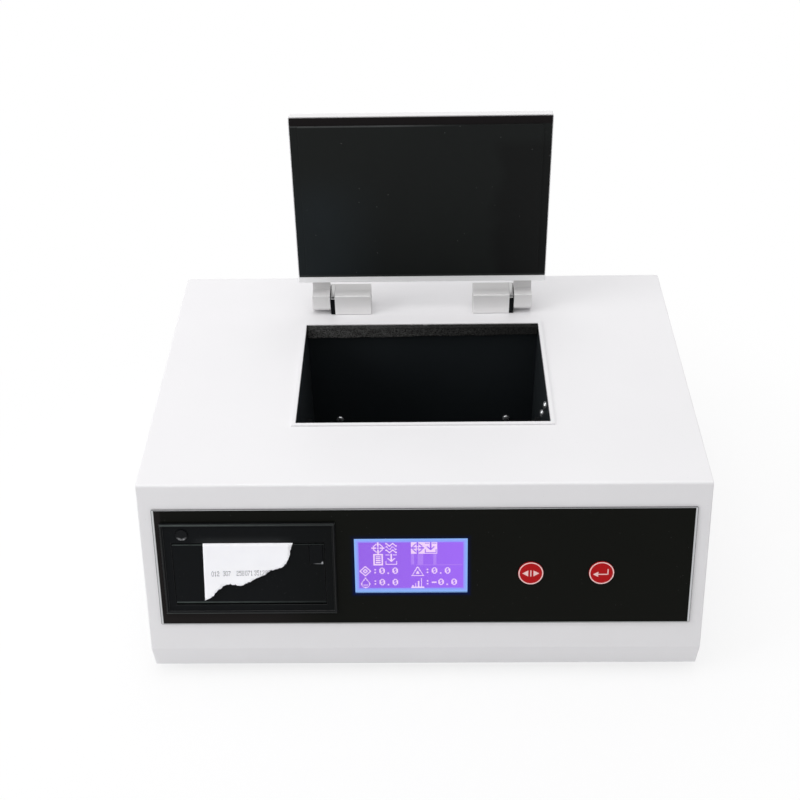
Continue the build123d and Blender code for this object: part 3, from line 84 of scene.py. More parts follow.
def turn(name, description, degrees):
    return FloatProperty(name=name, description=description, default=math.radians(degrees), unit="ROTATION")


def colour(name, description, red, green, blue):
    """A colour given by its 8-bit screen values."""
    return FloatVectorProperty(
        name=name,
        description=description,
        default=linear(red, green, blue),
        subtype="COLOR",
        size=3,
        min=0.0,
        max=1.0,
    )


def linear(*screen):
    """A colour's linear values, from its 8-bit screen values."""
    return tuple(((c / 255 + 0.055) / 1.055) ** 2.4 if c > 10 else c / 255 / 12.92 for c in screen)


class StageSettings(PropertyGroup):
    camera_place: FloatVectorProperty(
        name="Camera",
        description="Place of the lens",
        default=(0.0005, -0.66085, 0.6652),
        size=3,
        unit="LENGTH",
    )
    camera_down: turn("Down", "How far the camera looks down", 39.19)
    camera_left: turn("Left", "How far the camera looks to the left", 1.40)
    camera_roll: turn("Roll", "How far the camera leans", 1.33)
    focal: number("Focal length", "Of the lens, in millimetres on a 36 mm sensor", 55.66)
    floor_radius: length("Floor", "Radius of the floor", 2500)
    shade_radius: length("Shade", "Distance from the object at which the floor turns plain white", 420)
    floor_white: colour("Floor", "Colour of the floor", 244, 244, 245)
    plain: number("Plain share", "How much plain white the floor shows beside the object", 0.76)
    sky: number("Sky", "Brightness of the light from all round", 0.46)
    top_light: number("Top light", "Power of the lamp overhead, in watts", 14.8)
    front_light: number("Front light", "Power of the lamp over the camera, in watts", 1.2)
    left_light: number("Left light", "Power of the lamp on the left, in watts", 13.4)


class PaintSettings(PropertyGroup):
    white: colour("White", "Paint of the case and the lid", 231, 230, 232)
    grey: colour("Grey", "Paint of the tray and the rear panel", 205, 205, 207)
    black: colour("Black", "Paint of the chamber", 34, 38, 41)
    case_edge: length("Case edges", "Radius of the case's bent edges", 0.7)


class PanelSettings(PropertyGroup):
    film: colour("Film", "Printed face of the panel film", 14, 15, 12)
    margin: length("Margin", "Clear edge of the film round its print", 1.5)
    halo: length("Halo", "Width of the display's blue glow in the film", 3.8)
    halo_blue: colour("Halo", "Film beside the lit display", 0, 15, 68)
    bevel: length("Edge", "Rounding of the film's edge", 0.12)


class DisplaySettings(PropertyGroup):
    edge: colour("Edge", "Outermost part of the display's lit border", 138, 182, 244)
    border: colour("Border", "Lit border of the display beside its field", 146, 152, 250)
    field: colour("Field", "Lit field of the display", 152, 94, 231)
    dot: colour("Dots", "Lit dots", 252, 220, 253)
    streak: colour("Streaks", "Half lit dots", 178, 130, 243)
    border_x: length("Border at the sides", "From the window's edge to the field", 2.5)
    border_up: length("Border above and below", "From the window's edge to the field", 2.9)


class KeySettings(PropertyGroup):
    red: colour("Red", "Cap of the keys", 178, 12, 18)
    print_white: colour("Print", "Ring and symbols on the keys", 250, 208, 206)
    ring_radius: length("Ring", "Outer radius of the ring", 7.9)
    ring_width: length("Ring width", "Width of the ring's line", 0.72)
    line: length("Line", "Width of the symbols' lines", 0.7)


class PaperSettings(PropertyGroup):
    white: colour("Paper", "Colour of the paper", 247, 247, 251)
    # painted light: the paper's emission strength, which brightens it although it is no lamp
    painted_glow: number("Glow", "Light given back by the paper's whitener", 0.08)
    ink: colour("Ink", "Colour of the print on the paper", 50, 49, 53)
    grid: length("Grid", "Distance between the cuts that let the paper bend", 2.0)
    tear: length("Tear", "Depth of the fibres along the torn edge", 1.25)
    dot: length("Print dot", "Width of a printed dot", 0.29)
    dot_up: length("Print dot up", "Height of a printed dot", 0.5)
    print_left: length("Print from the left", "From the paper's left edge to the print", 5.5)
    print_down: length("Print from the top", "From the paper's top edge to the print", 19.6)
    print_climb: number("Climb", "How much the line of print climbs to the right", 0.02)


GROUPS = {
    "colorimeter_stage": StageSettings,
    "colorimeter_paint": PaintSettings,
    "colorimeter_panel": PanelSettings,
    "colorimeter_display": DisplaySettings,
    "colorimeter_keys": KeySettings,
    "colorimeter_paper": PaperSettings,
}


# ---------------------------------------------------------------- faces that pieces lie on
def corners(points):
    """Lowest and highest corner of the box round some points."""
    return tuple(Vector(pick(point[i] for point in points) for i in range(3)) for pick in (min, max))


def halves(low, high):
    """Middle of a box and half its size."""
    return (low + high) / 2, (high - low) / 2


class Face:
    """Axes of a flat face: x to the right, up along it and out of it. It is the level face turned about x."""

    def __init__(self, angle):
        self.angle = angle
        self.matrix = Matrix.Rotation(angle, 4, "X")
        self.out = self.matrix.to_3x3() @ Vector((0, 0, 1))

    def points(self, node):
        """A node's points along the face's axes."""
        back = self.matrix.inverted()
        return [back @ vertex.co for vertex in nodes[node].data.vertices]

    def box(self, node):
        """Lowest and highest corner of a node along the face's axes."""
        return corners(self.points(node))

    def front(self, node):
        """Lowest and highest corner of a node's foremost face."""
        points = self.points(node)
        foremost = max(point.z for point in points) - 50 * HAIR
        return corners([point for point in points if point.z > foremost])

    def at(self, x, up, out):
        """Matrix that places a piece made flat on the face."""
        return self.matrix @ Matrix.Translation((x, up, out))


push_axis = Vector(joints["select_press"]["axis"])
LEVEL = Face(0.0)
SLOPE = Face(math.atan2(push_axis.y, -push_axis.z))
LID = Face(math.radians(180 - joints["lid_hinge"]["range_deg"][1]))


def window_opening():
    """Middle and size of the opening in the panel film over the display."""
    middle = halves(*SLOPE.box("display_window"))[0]
    around = [point - middle for point in SLOPE.points("front_panel")]
    corner = min(around, key=lambda point: point.xy.length)
    return middle, 2 * Vector((abs(corner.x), abs(corner.y)))


def body_of(node):
    """The body that a node rides on."""
    return next(body for body, members in bodies.items() if node in members)


# ---------------------------------------------------------------- materials
class Value:
    """A number, colour or vector that leaves one socket of a shading's nodes."""

    def __init__(self, shading, socket):
        self.shading = shading
        self.socket = socket

    def maths(self, operation, *values):
        return self.shading.node("ShaderNodeMath", {"operation": operation}, values)

    def __add__(self, other):
        return self.maths("ADD", self, other)

    __radd__ = __add__

    def __sub__(self, other):
        return self.maths("SUBTRACT", self, other)

    def __rsub__(self, other):
        return self.maths("SUBTRACT", other, self)

    def __mul__(self, other):
        return self.maths("MULTIPLY", self, other)

    __rmul__ = __mul__

    def __truediv__(self, other):
        return self.maths("DIVIDE", self, other)

    def __rtruediv__(self, other):
        return self.maths("DIVIDE", other, self)

    def __abs__(self):
        return self.maths("ABSOLUTE", self)

    def __gt__(self, other):
        return self.maths("GREATER_THAN", self, other)

    def __lt__(self, other):
        return self.maths("LESS_THAN", self, other)

    def larger(self, other):
        return self.maths("MAXIMUM", self, other)

    def root(self):
        return self.maths("SQRT", self)

    def fraction(self):
        return self.maths("FRACT", self)

    def step(self, start, end):
        """0 before start, 1 after end, smooth between them."""
        inputs = {"Value": self, "From Min": start, "From Max": end}
        return self.shading.node("ShaderNodeMapRange", {"interpolation_type": "SMOOTHSTEP"}, inputs)


class Shading:
    """Adds nodes to the tree of a material or of the world."""

    def __init__(self, tree):
        self.tree = tree

    def plug(self, socket, value):
        if isinstance(value, Value):
            self.tree.links.new(value.socket, socket)
        elif socket.type == "RGBA" and len(value) == 3:
            socket.default_value = (*value, 1.0)
        else:
            socket.default_value = value

    def node(self, kind, settings=None, inputs=(), output=0):
        """Adds a node, sets it up and fills its sockets with numbers or values."""
        node = self.tree.nodes.new(kind)
        for key, setting in (settings or {}).items():
            setattr(node, key, setting)
        for key, value in inputs.items() if isinstance(inputs, dict) else enumerate(inputs):
            self.plug(node.inputs[key], value)
        return Value(self, node.outputs[output])

    def seen(self):
        """1 where the camera looks, straight on, in a mirror or through glass, and 0 for other light."""
        rays = self.node("ShaderNodeLightPath").socket.node.outputs
        straight, mirrored, through = (
            Value(self, rays[f"Is {kind} Ray"]) for kind in ("Camera", "Glossy", "Transmission")
        )
        return straight.larger(mirrored).larger(through)


class Finish(Shading):
    """Builds one material around its Principled shader."""

    def __init__(self, name, **constants):
        self.material = bpy.data.materials.new(f"finish_{name}")
        self.material.use_nodes = True
        super().__init__(self.material.node_tree)
        self.shader = self.tree.nodes["Principled BSDF"]
        self.set(**constants)

    def set(self, **values):
        """Gives the shader's sockets numbers or values: base_color sets Base Color, and so on."""
        for name, value in values.items():
            words = [word.upper() if word == "ior" else word.capitalize() for word in name.split("_")]
            self.plug(self.shader.inputs[" ".join(words)], value)
        return self

    def place(self, face=LEVEL, centre=(0, 0, 0), scale=(1, 1, 1)):
        """Object coordinates along the face's axes, in metres from centre."""
        middle = Vector(s * c for s, c in zip(scale, centre))
        coordinates = self.node("ShaderNodeTexCoord", output="Object")
        level = self.node("ShaderNodeMapping", {}, {"Vector": coordinates, "Rotation": (-face.angle, 0, 0)})
        return self.node("ShaderNodeMapping", {}, {"Vector": level, "Scale": scale, "Location": -middle})

    def parts(self, vector):
        """The x, y and z of a vector."""
        split = self.node("ShaderNodeSeparateXYZ", {}, [vector]).socket.node
        return [Value(self, output) for output in split.outputs]

    def noise(self, vector, size, detail=2.0, roughness=0.5):
        """Cloudy noise from 0 to 1 with lumps of that size in metres."""
        inputs = {"Vector": vector, "Scale": 1 / size, "Detail": detail, "Roughness": roughness}
        return self.node("ShaderNodeTexNoise", {}, inputs)

    def cells(self, vector, size):
        """Distance to the nearest of scattered points, which lie about that size apart."""
        return self.node("ShaderNodeTexVoronoi", {}, {"Vector": vector, "Scale": 1 / size})

    def mix(self, factor, first, second, blend="MIX"):
        """Colour between two colours."""
        settings = {"data_type": "RGBA", "blend_type": blend}
        return self.node("ShaderNodeMix", settings, {0: factor, 6: first, 7: second}, output=2)

    def layers(self, tone, *layers):
        """Lays colours over a tone, each by its mask."""
        for mask, tint in layers:
            tone = self.mix(mask, tone, tint)
        return tone

    def bump(self, height, distance, strength=1.0):
        """Small relief; distance is the height in metres of a full step."""
        return self.node("ShaderNodeBump", {}, {"Strength": strength, "Distance": distance, "Height": height})

    def dust(self, vector, apart, share):
        """Mask of specks in drifts, which lie that far apart; share is their size in that distance."""
        specks = self.cells(vector, apart) < share
        return specks * (self.noise(vector, 12 * MM) > 0.5)


DUST = linear(150, 150, 148)
BLACK = linear(12, 14, 16)


def shade(tint, factor):
    """A tint made darker or brighter."""
    return tuple(min(1.0, channel * factor) for channel in tint)


def paint(name, tint, roughness, face=LEVEL, peel=1.6 * MM, uneven=0.02, gloss=0.5, areas=None):
    """Sprayed paint with slight ripples, dust and cloudy wear; areas gives masks and their colours."""
    finish = Finish(name, coat_weight=0.2 * gloss, coat_roughness=0.18, specular_ior_level=gloss)
    place = finish.place(face)
    clouds = finish.noise(place, 60 * MM, detail=3.0)
    ripples = finish.noise(place, peel)
    tone = finish.mix(clouds, shade(tint, 1 - uneven), shade(tint, 1 + uneven))
    specks = finish.dust(place, 5 * MM, share=0.05) * 0.25
    return finish.set(
        base_color=finish.layers(tone, *(areas(finish) if areas else ()), (specks, shade(tint, 0.55))),
        roughness=clouds * 0.08 + roughness,
        normal=finish.bump(ripples, 0.012 * MM, strength=0.6),
    ).material


def moulded(name, tint, roughness=0.42, grain=0.35 * MM, depth=0.012 * MM, dusty=0.08, gloss=0.5):
    """Moulded plastic with a fine spark-eroded grain and a few dust specks."""
    finish = Finish(name, specular_ior_level=gloss)
    place = finish.place()
    fine = finish.noise(place, grain)
    clouds = finish.noise(place, 25 * MM, detail=3.0)
    specks = finish.dust(place, 2.5 * MM, share=0.09)
    tone = finish.mix(clouds, shade(tint, 0.85), shade(tint, 1.15))
    return finish.set(
        base_color=finish.mix(specks * dusty, tone, DUST),
        roughness=clouds * 0.1 + fine * 0.06 + (roughness - 0.08),
        normal=finish.bump(fine, depth, strength=0.7),
    ).material


def metal(name, tint, roughness, brush=(1, 1, 1), metallic=1.0):
    """Metal with fine marks; brush squeezes them along an axis."""
    finish = Finish(name, metallic=metallic)
    place = finish.place(scale=brush)
    marks = finish.noise(place, 0.5 * MM, detail=4.0, roughness=0.65)
    clouds = finish.noise(finish.place(), 14 * MM, detail=3.0)
    return finish.set(
        base_color=finish.mix(clouds * 0.6 + marks * 0.4, shade(tint, 0.88), shade(tint, 1.12)),
        roughness=marks * 0.14 + clouds * 0.1 + (roughness - 0.12),
        normal=finish.bump(marks, 0.006 * MM, strength=0.6),
    ).material


def clear(name, tint, roughness, ior):
    """Clear plastic or glass with a faint bloom."""
    finish = Finish(name, transmission_weight=1.0, ior=ior, base_color=tint)
    bloom = finish.noise(finish.place(), 30 * MM, detail=3.0)
    return finish.set(roughness=bloom.step(0.5, 0.8) * 0.04 + roughness).material


def circuit(name):
    """Green solder mask over copper tracks, with bright pads."""
    finish = Finish(name, coat_weight=0.3, coat_roughness=0.15)
    place = finish.place()
    pitch = 2.54 * MM
    weave = finish.noise(place, 9 * MM, detail=0.0)
    bands = {"wave_type": "BANDS", "bands_direction": "DIAGONAL"}
    tracks = finish.node("ShaderNodeTexWave", bands, [place, 1 / (6 * pitch), 2.0, 1.0]) > 0.62
    pads = finish.cells(place, 2 * pitch) < 0.16
    mask = finish.mix(tracks * 0.6, linear(20, 82, 44), linear(40, 118, 62))
    return finish.set(
        base_color=finish.mix(pads, mask, linear(196, 196, 190)),
        metallic=pads * 0.9,
        roughness=weave * 0.1 + 0.32,
        normal=finish.bump(tracks + pads, 0.035 * MM),
    ).material


def foam_finish():
    """Open-cell foam: dark pores in a speckled grey that pales to the left; its top face is darkened as painted
    shade.
    """
    finish = Finish("grey_foam", specular_ior_level=0.1)
    place = finish.place()
    pores = finish.cells(place, 1.1 * MM)
    clouds = finish.noise(place, 2.6 * MM, detail=3.0, roughness=0.65)
    low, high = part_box("foam_strip")
    x, y, z = finish.parts(place)
    leftward = x.step(high.x, low.x) * 0.95 + 0.25
    # painted shade: the foam's top face is made darker than below it
    below_top = z.step(high.z - 0.6 * MM, high.z - 1.2 * MM) * 0.6 + 0.4
    grey = pores.step(0.15, 0.6) * clouds * (leftward * below_top)
    return finish.set(
        base_color=finish.mix(grey, linear(10, 10, 10), linear(112, 112, 111)),
        roughness=clouds * 0.1 + 0.85,
        normal=finish.bump(pores, 0.5 * MM),
    ).material


def liner_finish():
    """Black rubberised sheet: painted shade on a sunk border, a painted highlight along the raised field's upper
    edge, a painted cold sheen, darker towards the right.
    """
    middle, half = halves(*LID.box("lid_liner"))
    finish = Finish("black_liner", specular_ior_level=0.12)
    place = finish.place(LID, middle)
    x, up, out = finish.parts(place)
    smears = finish.noise(finish.place(LID, scale=(1, 0.5, 1)), 38 * MM, detail=4.0, roughness=0.6)
    broad = finish.noise(place, 60 * MM, detail=3.0)
    fine = finish.noise(place, 0.5 * MM)
    # painted light: a cold sheen towards the lower left
    cold = x.step(-0.2 * half.x, -0.8 * half.x) * up.step(0.5 * half.y, -0.3 * half.y)
    darker_right = ((broad - 0.5) * (0.5 * half.x) + x).step(0.52 * half.x, 0.66 * half.x)
    darker_right = darker_right * up.step(0.8 * half.y, 0.6 * half.y)
    edge = up - (half.y - 5.5 * MM)
    # painted highlight along the upper edge of the raised field, fading to the right
    pad_highlight = edge.step(-1.1 * MM, -0.4 * MM) * edge.step(0.3 * MM, 0) * x.step(0.4 * half.x, -0.3 * half.x)
    foot = up.step(2.2 * MM - half.y, 0.8 * MM - half.y)
    tone = finish.layers(
        finish.mix(smears, linear(15, 17, 17), linear(22, 25, 24)),
        (cold * (broad * 0.8 + 0.4), linear(26, 32, 35)),
        (darker_right * 0.8, linear(10, 11, 11)),
        # painted shade over the sunk border above the raised field
        (edge.step(0, 0.5 * MM), linear(9, 5, 6)),
        (pad_highlight * (smears + 0.3), linear(66, 68, 68)),
        (foot * (smears + 0.3), linear(54, 57, 56)),
        (finish.dust(place, 6 * MM, share=0.04) * 0.4, DUST),
    )
    return finish.set(
        base_color=tone,
        roughness=smears * 0.14 + fine * 0.05 + 0.42,
        normal=finish.bump(smears * 0.5 + fine * 0.05, 0.4 * MM, strength=0.25),
    ).material


def paper_finish(tint):
    """Fibrous paper with painted light: a faint emission makes it shine a little, though it is no lamp."""
    painted_glow = bpy.context.scene.colorimeter_paper.painted_glow
    # painted light: emission brightens the paper
    finish = Finish("white_paper", emission_color=tint, emission_strength=painted_glow)
    place = finish.place(SLOPE)
    fibres = finish.noise(place, 0.35 * MM, detail=4.0, roughness=0.7)
    clouds = finish.noise(place, 9 * MM, detail=3.0)
    return finish.set(
        base_color=finish.mix(fibres * 0.5 + clouds * 0.5, shade(tint, 0.94), shade(tint, 1.03)),
        roughness=fibres * 0.1 + 0.55,
        normal=finish.bump(fibres, 0.03 * MM, strength=0.5),
    ).material


def make_finish(slot):
    """Makes the material that a slot's pieces share."""
    tints = bpy.context.scene.colorimeter_paint
    makers = {
        "white_paint": lambda: paint(slot, tints.white, 0.3),
        "grey_paint": lambda: paint(slot, tints.grey, 0.45, peel=0.9 * MM),
        "black_paint": lambda: paint(slot, tints.black, 0.42, peel=0.7 * MM, uneven=0.2, gloss=0.2),
        "black_anodised": lambda: metal(slot, linear(44, 45, 47), 0.38, metallic=0.6),
        "clear_window": lambda: clear(slot, (0.97, 0.98, 1.0), 0.03, ior=1.12),
        "bare_steel": lambda: metal(slot, linear(190, 190, 190), 0.3, brush=(0.08, 1, 1)),
        "zinc_screws": lambda: metal(slot, linear(205, 205, 202), 0.28),
        "tinned_brass": lambda: metal(slot, linear(214, 206, 180), 0.26),
        "circuit_board": lambda: circuit(slot),
        "black_plastic": lambda: moulded(slot, linear(13, 15, 17), gloss=0.06),
        "red_plastic": lambda: moulded(slot, bpy.context.scene.colorimeter_keys.red, 0.4, gloss=0.12),
        "black_rubber": lambda: moulded(slot, (0.02,) * 3, 0.75, grain=0.6 * MM, depth=0.03 * MM, dusty=0.3),
        "grey_foam": foam_finish,
        "black_liner": liner_finish,
        "white_paper": lambda: paper_finish(bpy.context.scene.colorimeter_paper.white),
        "nylon": lambda: moulded(slot, linear(226, 224, 214), 0.4),
        "plated_steel": lambda: metal(slot, linear(196, 198, 200), 0.34),
        "optical_glass": lambda: clear(slot, (0.98, 1.0, 0.99), 0.01, ior=1.52),
        "lamp_ceramic": lambda: moulded(slot, linear(232, 228, 214), 0.6),
    }
    return makers[slot]()


def finish_of(slot):
    """The material of a slot, made when it is first asked for."""
    if slot not in slot_finishes:
        slot_finishes[slot] = make_finish(slot)
    return slot_finishes[slot]


# ---------------------------------------------------------------- pieces
def add_piece(name, bm, body, slot, material=None, replaces=(), sharp=35):
    """Closes the bmesh into a piece that rides on its body, in the slot's finish or in its own."""
    bmesh.ops.recalc_face_normals(bm, faces=bm.faces)
    mesh = bpy.data.meshes.new(name)
    bm.to_mesh(mesh)
    bm.free()
    mesh.materials.append(material or finish_of(slot))
    mesh.shade_smooth()
    mesh.set_sharp_from_angle(angle=math.radians(sharp))
    piece = bpy.data.objects.new(name, mesh)
    bpy.context.scene.collection.objects.link(piece)
    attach(piece, body)
    if replaces:
        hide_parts(*replaces)
    return piece


def finished(node, bm, material):
    """The piece that stands for a node."""
    return add_piece(f"{node}_finished", bm, body_of(node), slot_of[node], material, [node])


def merged_copy(node):
    """The node's shape with its doubles merged and its flat faces joined up."""
    bm = bmesh.new()
    bm.from_mesh(nodes[node].data)
    bmesh.ops.remove_doubles(bm, verts=bm.verts, dist=2 * HAIR)
    bmesh.ops.dissolve_limit(bm, angle_limit=math.radians(0.4), verts=bm.verts, edges=bm.edges)
    return bm


def soften(node, width, material=None, segments=2, edge=None):
    """Replaces a node by a copy with rounded edges, which may have a finish of their own."""
    piece = finished(node, merged_copy(node), material)
    if edge:
        piece.data.materials.append(edge)
    rounding = piece.modifiers.new("rounded edges", "BEVEL")
    rounding.width = width
    rounding.segments = segments
    rounding.limit_method = "ANGLE"
    rounding.angle_limit = math.radians(32)
    rounding.material = 1 if edge else -1
    rounding.use_clamp_overlap = True
    flatness = piece.modifiers.new("flat faces", "WEIGHTED_NORMAL")
    flatness.mode = "FACE_AREA"
    flatness.weight = 100
    flatness.keep_sharp = True


def loop_at(bm, height):
    """Open edges at one height."""
    return [
        edge
        for edge in bm.edges
        if edge.is_boundary and all(abs(vertex.co.z - height) < HAIR for vertex in edge.verts)
    ]


def turned(bm, profile, steps=32):
    """Spins a profile of (radius, height) points about z into the bmesh, and returns the new vertices."""
    before = set(bm.verts)
    line = [bm.verts.new((radius, 0, height)) for radius, height in profile]
    edges = [bm.edges.new(pair) for pair in zip(line, line[1:])]
    around = {"axis": (0, 0, 1), "cent": (0, 0, 0), "angle": math.tau}
    bmesh.ops.spin(bm, geom=line + edges, steps=steps, use_merge=True, **around)
    made = [vertex for vertex in bm.verts if vertex not in before]
    bmesh.ops.remove_doubles(bm, verts=made, dist=HAIR)
    return [vertex for vertex in bm.verts if vertex not in before]


def cross_screw(bm, matrix, head_radius, head_height, shaft_radius, shaft_length):
    """Adds a screw with a domed head and a cross recess; its head stands on z = 0."""
    before = set(bm.verts)
    flat_radius = 0.5 * head_radius
    cross_reach = 0.82 * flat_radius
    between = 0.5 * flat_radius  # tells the inner points of the cross's grid from its outer ones
    arm_width = 0.55  # of the width that the grid gives the cross's arms
    recess_depth = 0.6 * head_height
    floor_size = 0.6  # of the cross at the top
    profile = [
        (0, -shaft_length),
        (0.75 * shaft_radius, -shaft_length),
        (shaft_radius, 0.6 * shaft_radius - shaft_length),
        (shaft_radius, 0),
        (head_radius, 0),
        (head_radius, 0.3 * head_height),
        (0.93 * head_radius, 0.55 * head_height),
        (0.75 * head_radius, 0.85 * head_height),
        (flat_radius, head_height),
    ]
    turned(bm, profile, steps=24)
    circle = loop_at(bm, head_height)
    grid = bmesh.ops.create_grid(bm, x_segments=3, y_segments=3, size=cross_reach)["verts"]
    bmesh.ops.translate(bm, verts=grid, vec=(0, 0, head_height))
    for vertex in grid:
        for axis in (0, 1):
            if abs(vertex.co[axis]) < between:
                vertex.co[axis] *= arm_width
    outer = [vertex for vertex in grid if min(abs(vertex.co.x), abs(vertex.co.y)) > between]
    bmesh.ops.delete(bm, geom=outer, context="VERTS")
    faces = list({face for vertex in grid if vertex.is_valid for face in vertex.link_faces})
    outline = [edge for face in faces for edge in face.edges if edge.is_boundary]
    bmesh.ops.bridge_loops(bm, edges=circle + outline)
    recess = bmesh.ops.extrude_face_region(bm, geom=faces)["geom"]
    floor = [item for item in recess if isinstance(item, bmesh.types.BMVert)]
    bmesh.ops.translate(bm, verts=floor, vec=(0, 0, -recess_depth))
    bmesh.ops.scale(bm, verts=floor, vec=(floor_size, floor_size, 1))
    bmesh.ops.delete(bm, geom=[face for face in faces if face.is_valid], context="FACES_ONLY")
    bmesh.ops.transform(bm, matrix=matrix, verts=[vertex for vertex in bm.verts if vertex not in before])


def bored_plate(bm, low, high, centre, bore, steps=32):
    """Adds a plate that lies across x between two corners, with a round hole."""
    hole = bmesh.ops.create_circle(bm, segments=steps, radius=bore)["verts"]
    rim = bmesh.ops.create_circle(bm, segments=steps, radius=1)["verts"]
    for vertex in rim:
        vertex.co /= max(abs(vertex.co.x), abs(vertex.co.y))
        vertex.co.x = low.y + (vertex.co.x + 1) / 2 * (high.y - low.y) - centre.y
        vertex.co.y = low.z + (vertex.co.y + 1) / 2 * (high.z - low.z) - centre.z
    loops = {edge for vertex in hole + rim for edge in vertex.link_edges}
    faces = bmesh.ops.bridge_loops(bm, edges=list(loops))["faces"]
    raised = bmesh.ops.extrude_face_region(bm, geom=faces)["geom"]
    top = [item for item in raised if isinstance(item, bmesh.types.BMVert)]
    bmesh.ops.translate(bm, verts=top, vec=(0, 0, high.x - low.x))
    axes = Matrix(((0, 0, 1, low.x), (1, 0, 0, centre.y), (0, 1, 0, centre.z), (0, 0, 0, 1)))
    bmesh.ops.transform(bm, matrix=axes, verts=hole + rim + top)


def cut_up(bm, normal, start, pitch, slices):
    """Cuts a bmesh across an axis into slices that are a pitch apart."""
    for cut in range(1, slices):
        everything = bm.verts[:] + bm.edges[:] + bm.faces[:]
        spot = normal * (start + cut * pitch)
        bmesh.ops.bisect_plane(bm, geom=everything, plane_co=spot, plane_no=normal, dist=HAIR)


def islands(node):
    """The separate solids of a node, each as a list of its points."""
    bm = merged_copy(node)
    groups, seen = [], set()
    for start in bm.verts:
        if start in seen:
            continue
        group, queue = [], [start]
        seen.add(start)
        while queue:
            vertex = queue.pop()
            group.append(vertex.co.copy())
            for edge in vertex.link_edges:
                other = edge.other_vert(vertex)
                if other not in seen:
                    seen.add(other)
                    queue.append(other)
        groups.append(group)
    bm.free()
    return groups


def spread(points, axis):
    """Lowest and highest place of some points along an axis."""
    return [pick(point.dot(axis) for point in points) for pick in (min, max)]


def dress_screws(node, axes, material=None):
    """Replaces each plain screw of a node by one with a domed head and a cross recess."""
    bm = bmesh.new()
    for index, points in enumerate(islands(node)):
        centre = sum(points, Vector()) / len(points)
        axis = max(axes, key=lambda a: spread(points, a)[1] - spread(points, a)[0])
        low, high = spread(points, axis)
        radius_at = {}
        for point in points:
            along = round(point.dot(axis) - low, 5)
            radius = (point - centre - axis * (point - centre).dot(axis)).length
            radius_at[along] = max(radius, radius_at.get(along, 0))
        ends = sorted(radius_at)
        head_low = radius_at[ends[0]] > radius_at[ends[-1]]
        head_radius, shaft_radius = sorted((radius_at[ends[0]], radius_at[ends[-1]]), reverse=True)
        wide = [along for along in ends if radius_at[along] > 0.99 * head_radius]
        head_height = max(wide) - min(wide)
        seat = low + (max(wide) if head_low else min(wide))
        foot = centre + axis * (seat - centre.dot(axis))
        upright = (-axis if head_low else axis).to_track_quat("Z", "Y").to_matrix().to_4x4()
        cross_turn = Matrix.Rotation(0.5 + 1.1 * index, 4, "Z")  # so that no two crosses stand alike
        matrix = Matrix.Translation(foot) @ upright @ cross_turn
        cross_screw(bm, matrix, head_radius, head_height, shaft_radius, high - low - head_height)
    finished(node, bm, material)


def plate(bm, face, x, up, out, width, height, thickness=0.02 * MM):
    """Adds a thin plate on a face, standing on out."""
    size = Matrix.Diagonal((width, height, thickness, 1))
    bmesh.ops.create_cube(bm, size=1, matrix=face.at(x, up, out + thickness / 2) @ size)


# ---------------------------------------------------------------- stage
class COLORIMETER_OT_stage(Operator):
    """Sets up the pale floor, the soft light and the camera"""

    bl_idname = "colorimeter.stage"
    bl_label = "Stage"

    def execute(self, context):
        settings = context.scene.colorimeter_stage
        self.add_camera(context, settings)
        self.add_floor(context, settings)
        self.add_light(context, settings)
        return {"FINISHED"}

    def add_camera(self, context, settings):
        camera = bpy.data.objects.new("camera", bpy.data.cameras.new("camera"))
        camera.data.sensor_width = 36
        camera.data.lens = settings.focal
        camera.data.clip_start = 0.01
        camera.data.clip_end = 20
        camera.matrix_world = (
            Matrix.Translation(settings.camera_place)
            @ Matrix.Rotation(settings.camera_left, 4, "Z")
            @ Matrix.Rotation(math.radians(90) - settings.camera_down, 4, "X")
            @ Matrix.Rotation(-settings.camera_roll, 4, "Z")
        )
        context.scene.collection.objects.link(camera)
        context.scene.camera = camera

    def add_floor(self, context, settings):
        """A pale disc whose shade fades to plain white away from the object."""
        bm = bmesh.new()
        bmesh.ops.create_circle(bm, cap_ends=True, segments=96, radius=settings.floor_radius)
        mesh = bpy.data.meshes.new("floor")
        bm.to_mesh(mesh)
        bm.free()
        finish = Finish("floor", base_color=settings.floor_white, roughness=0.9)
        x, y, z = finish.parts(finish.place())
        faded = (x * x + y * y).root().step(0.45 * settings.shade_radius, settings.shade_radius)
        amount = finish.seen() * (faded * (1 - settings.plain) + settings.plain)
        white = finish.node("ShaderNodeEmission", {}, {"Color": (1.0, 1.0, 1.0), "Strength": 1.0})
        diffuse = Value(finish, finish.shader.outputs["BSDF"])
        shown = finish.node("ShaderNodeMixShader", {}, [amount, diffuse, white])
        finish.plug(finish.tree.nodes["Material Output"].inputs["Surface"], shown)
        mesh.materials.append(finish.material)
        floor = bpy.data.objects.new("floor", mesh)
        context.scene.collection.objects.link(floor)

    def add_light(self, context, settings):
        """A sky that is plain white wherever it is seen, and three broad lamps."""
        world = bpy.data.worlds.new("sky")
        context.scene.world = world
        world.use_nodes = True
        shading = Shading(world.node_tree)
        background = world.node_tree.nodes["Background"].inputs
        shading.plug(background["Color"], (1.0, 1.0, 1.0))
        shading.plug(background["Strength"], shading.seen() * (1 - settings.sky) + settings.sky)
        aim = Vector((0, 0, 0.1))
        for name, power, place, size in (
            ("top_light", settings.top_light, Vector((0.0, 0.15, 1.7)), 1.6),
            ("front_light", settings.front_light, Vector((0.0, -1.6, 1.3)), 1.4),
            ("left_light", settings.left_light, Vector((-1.6, -0.5, 1.1)), 1.2),
        ):
            lamp = bpy.data.lights.new(name, "AREA")
            lamp.shape = "DISK"
            lamp.size = size
            lamp.energy = power
            light = bpy.data.objects.new(name, lamp)
            light.location = place
            light.rotation_euler = (place - aim).to_track_quat("Z", "Y").to_euler()
            context.scene.collection.objects.link(light)


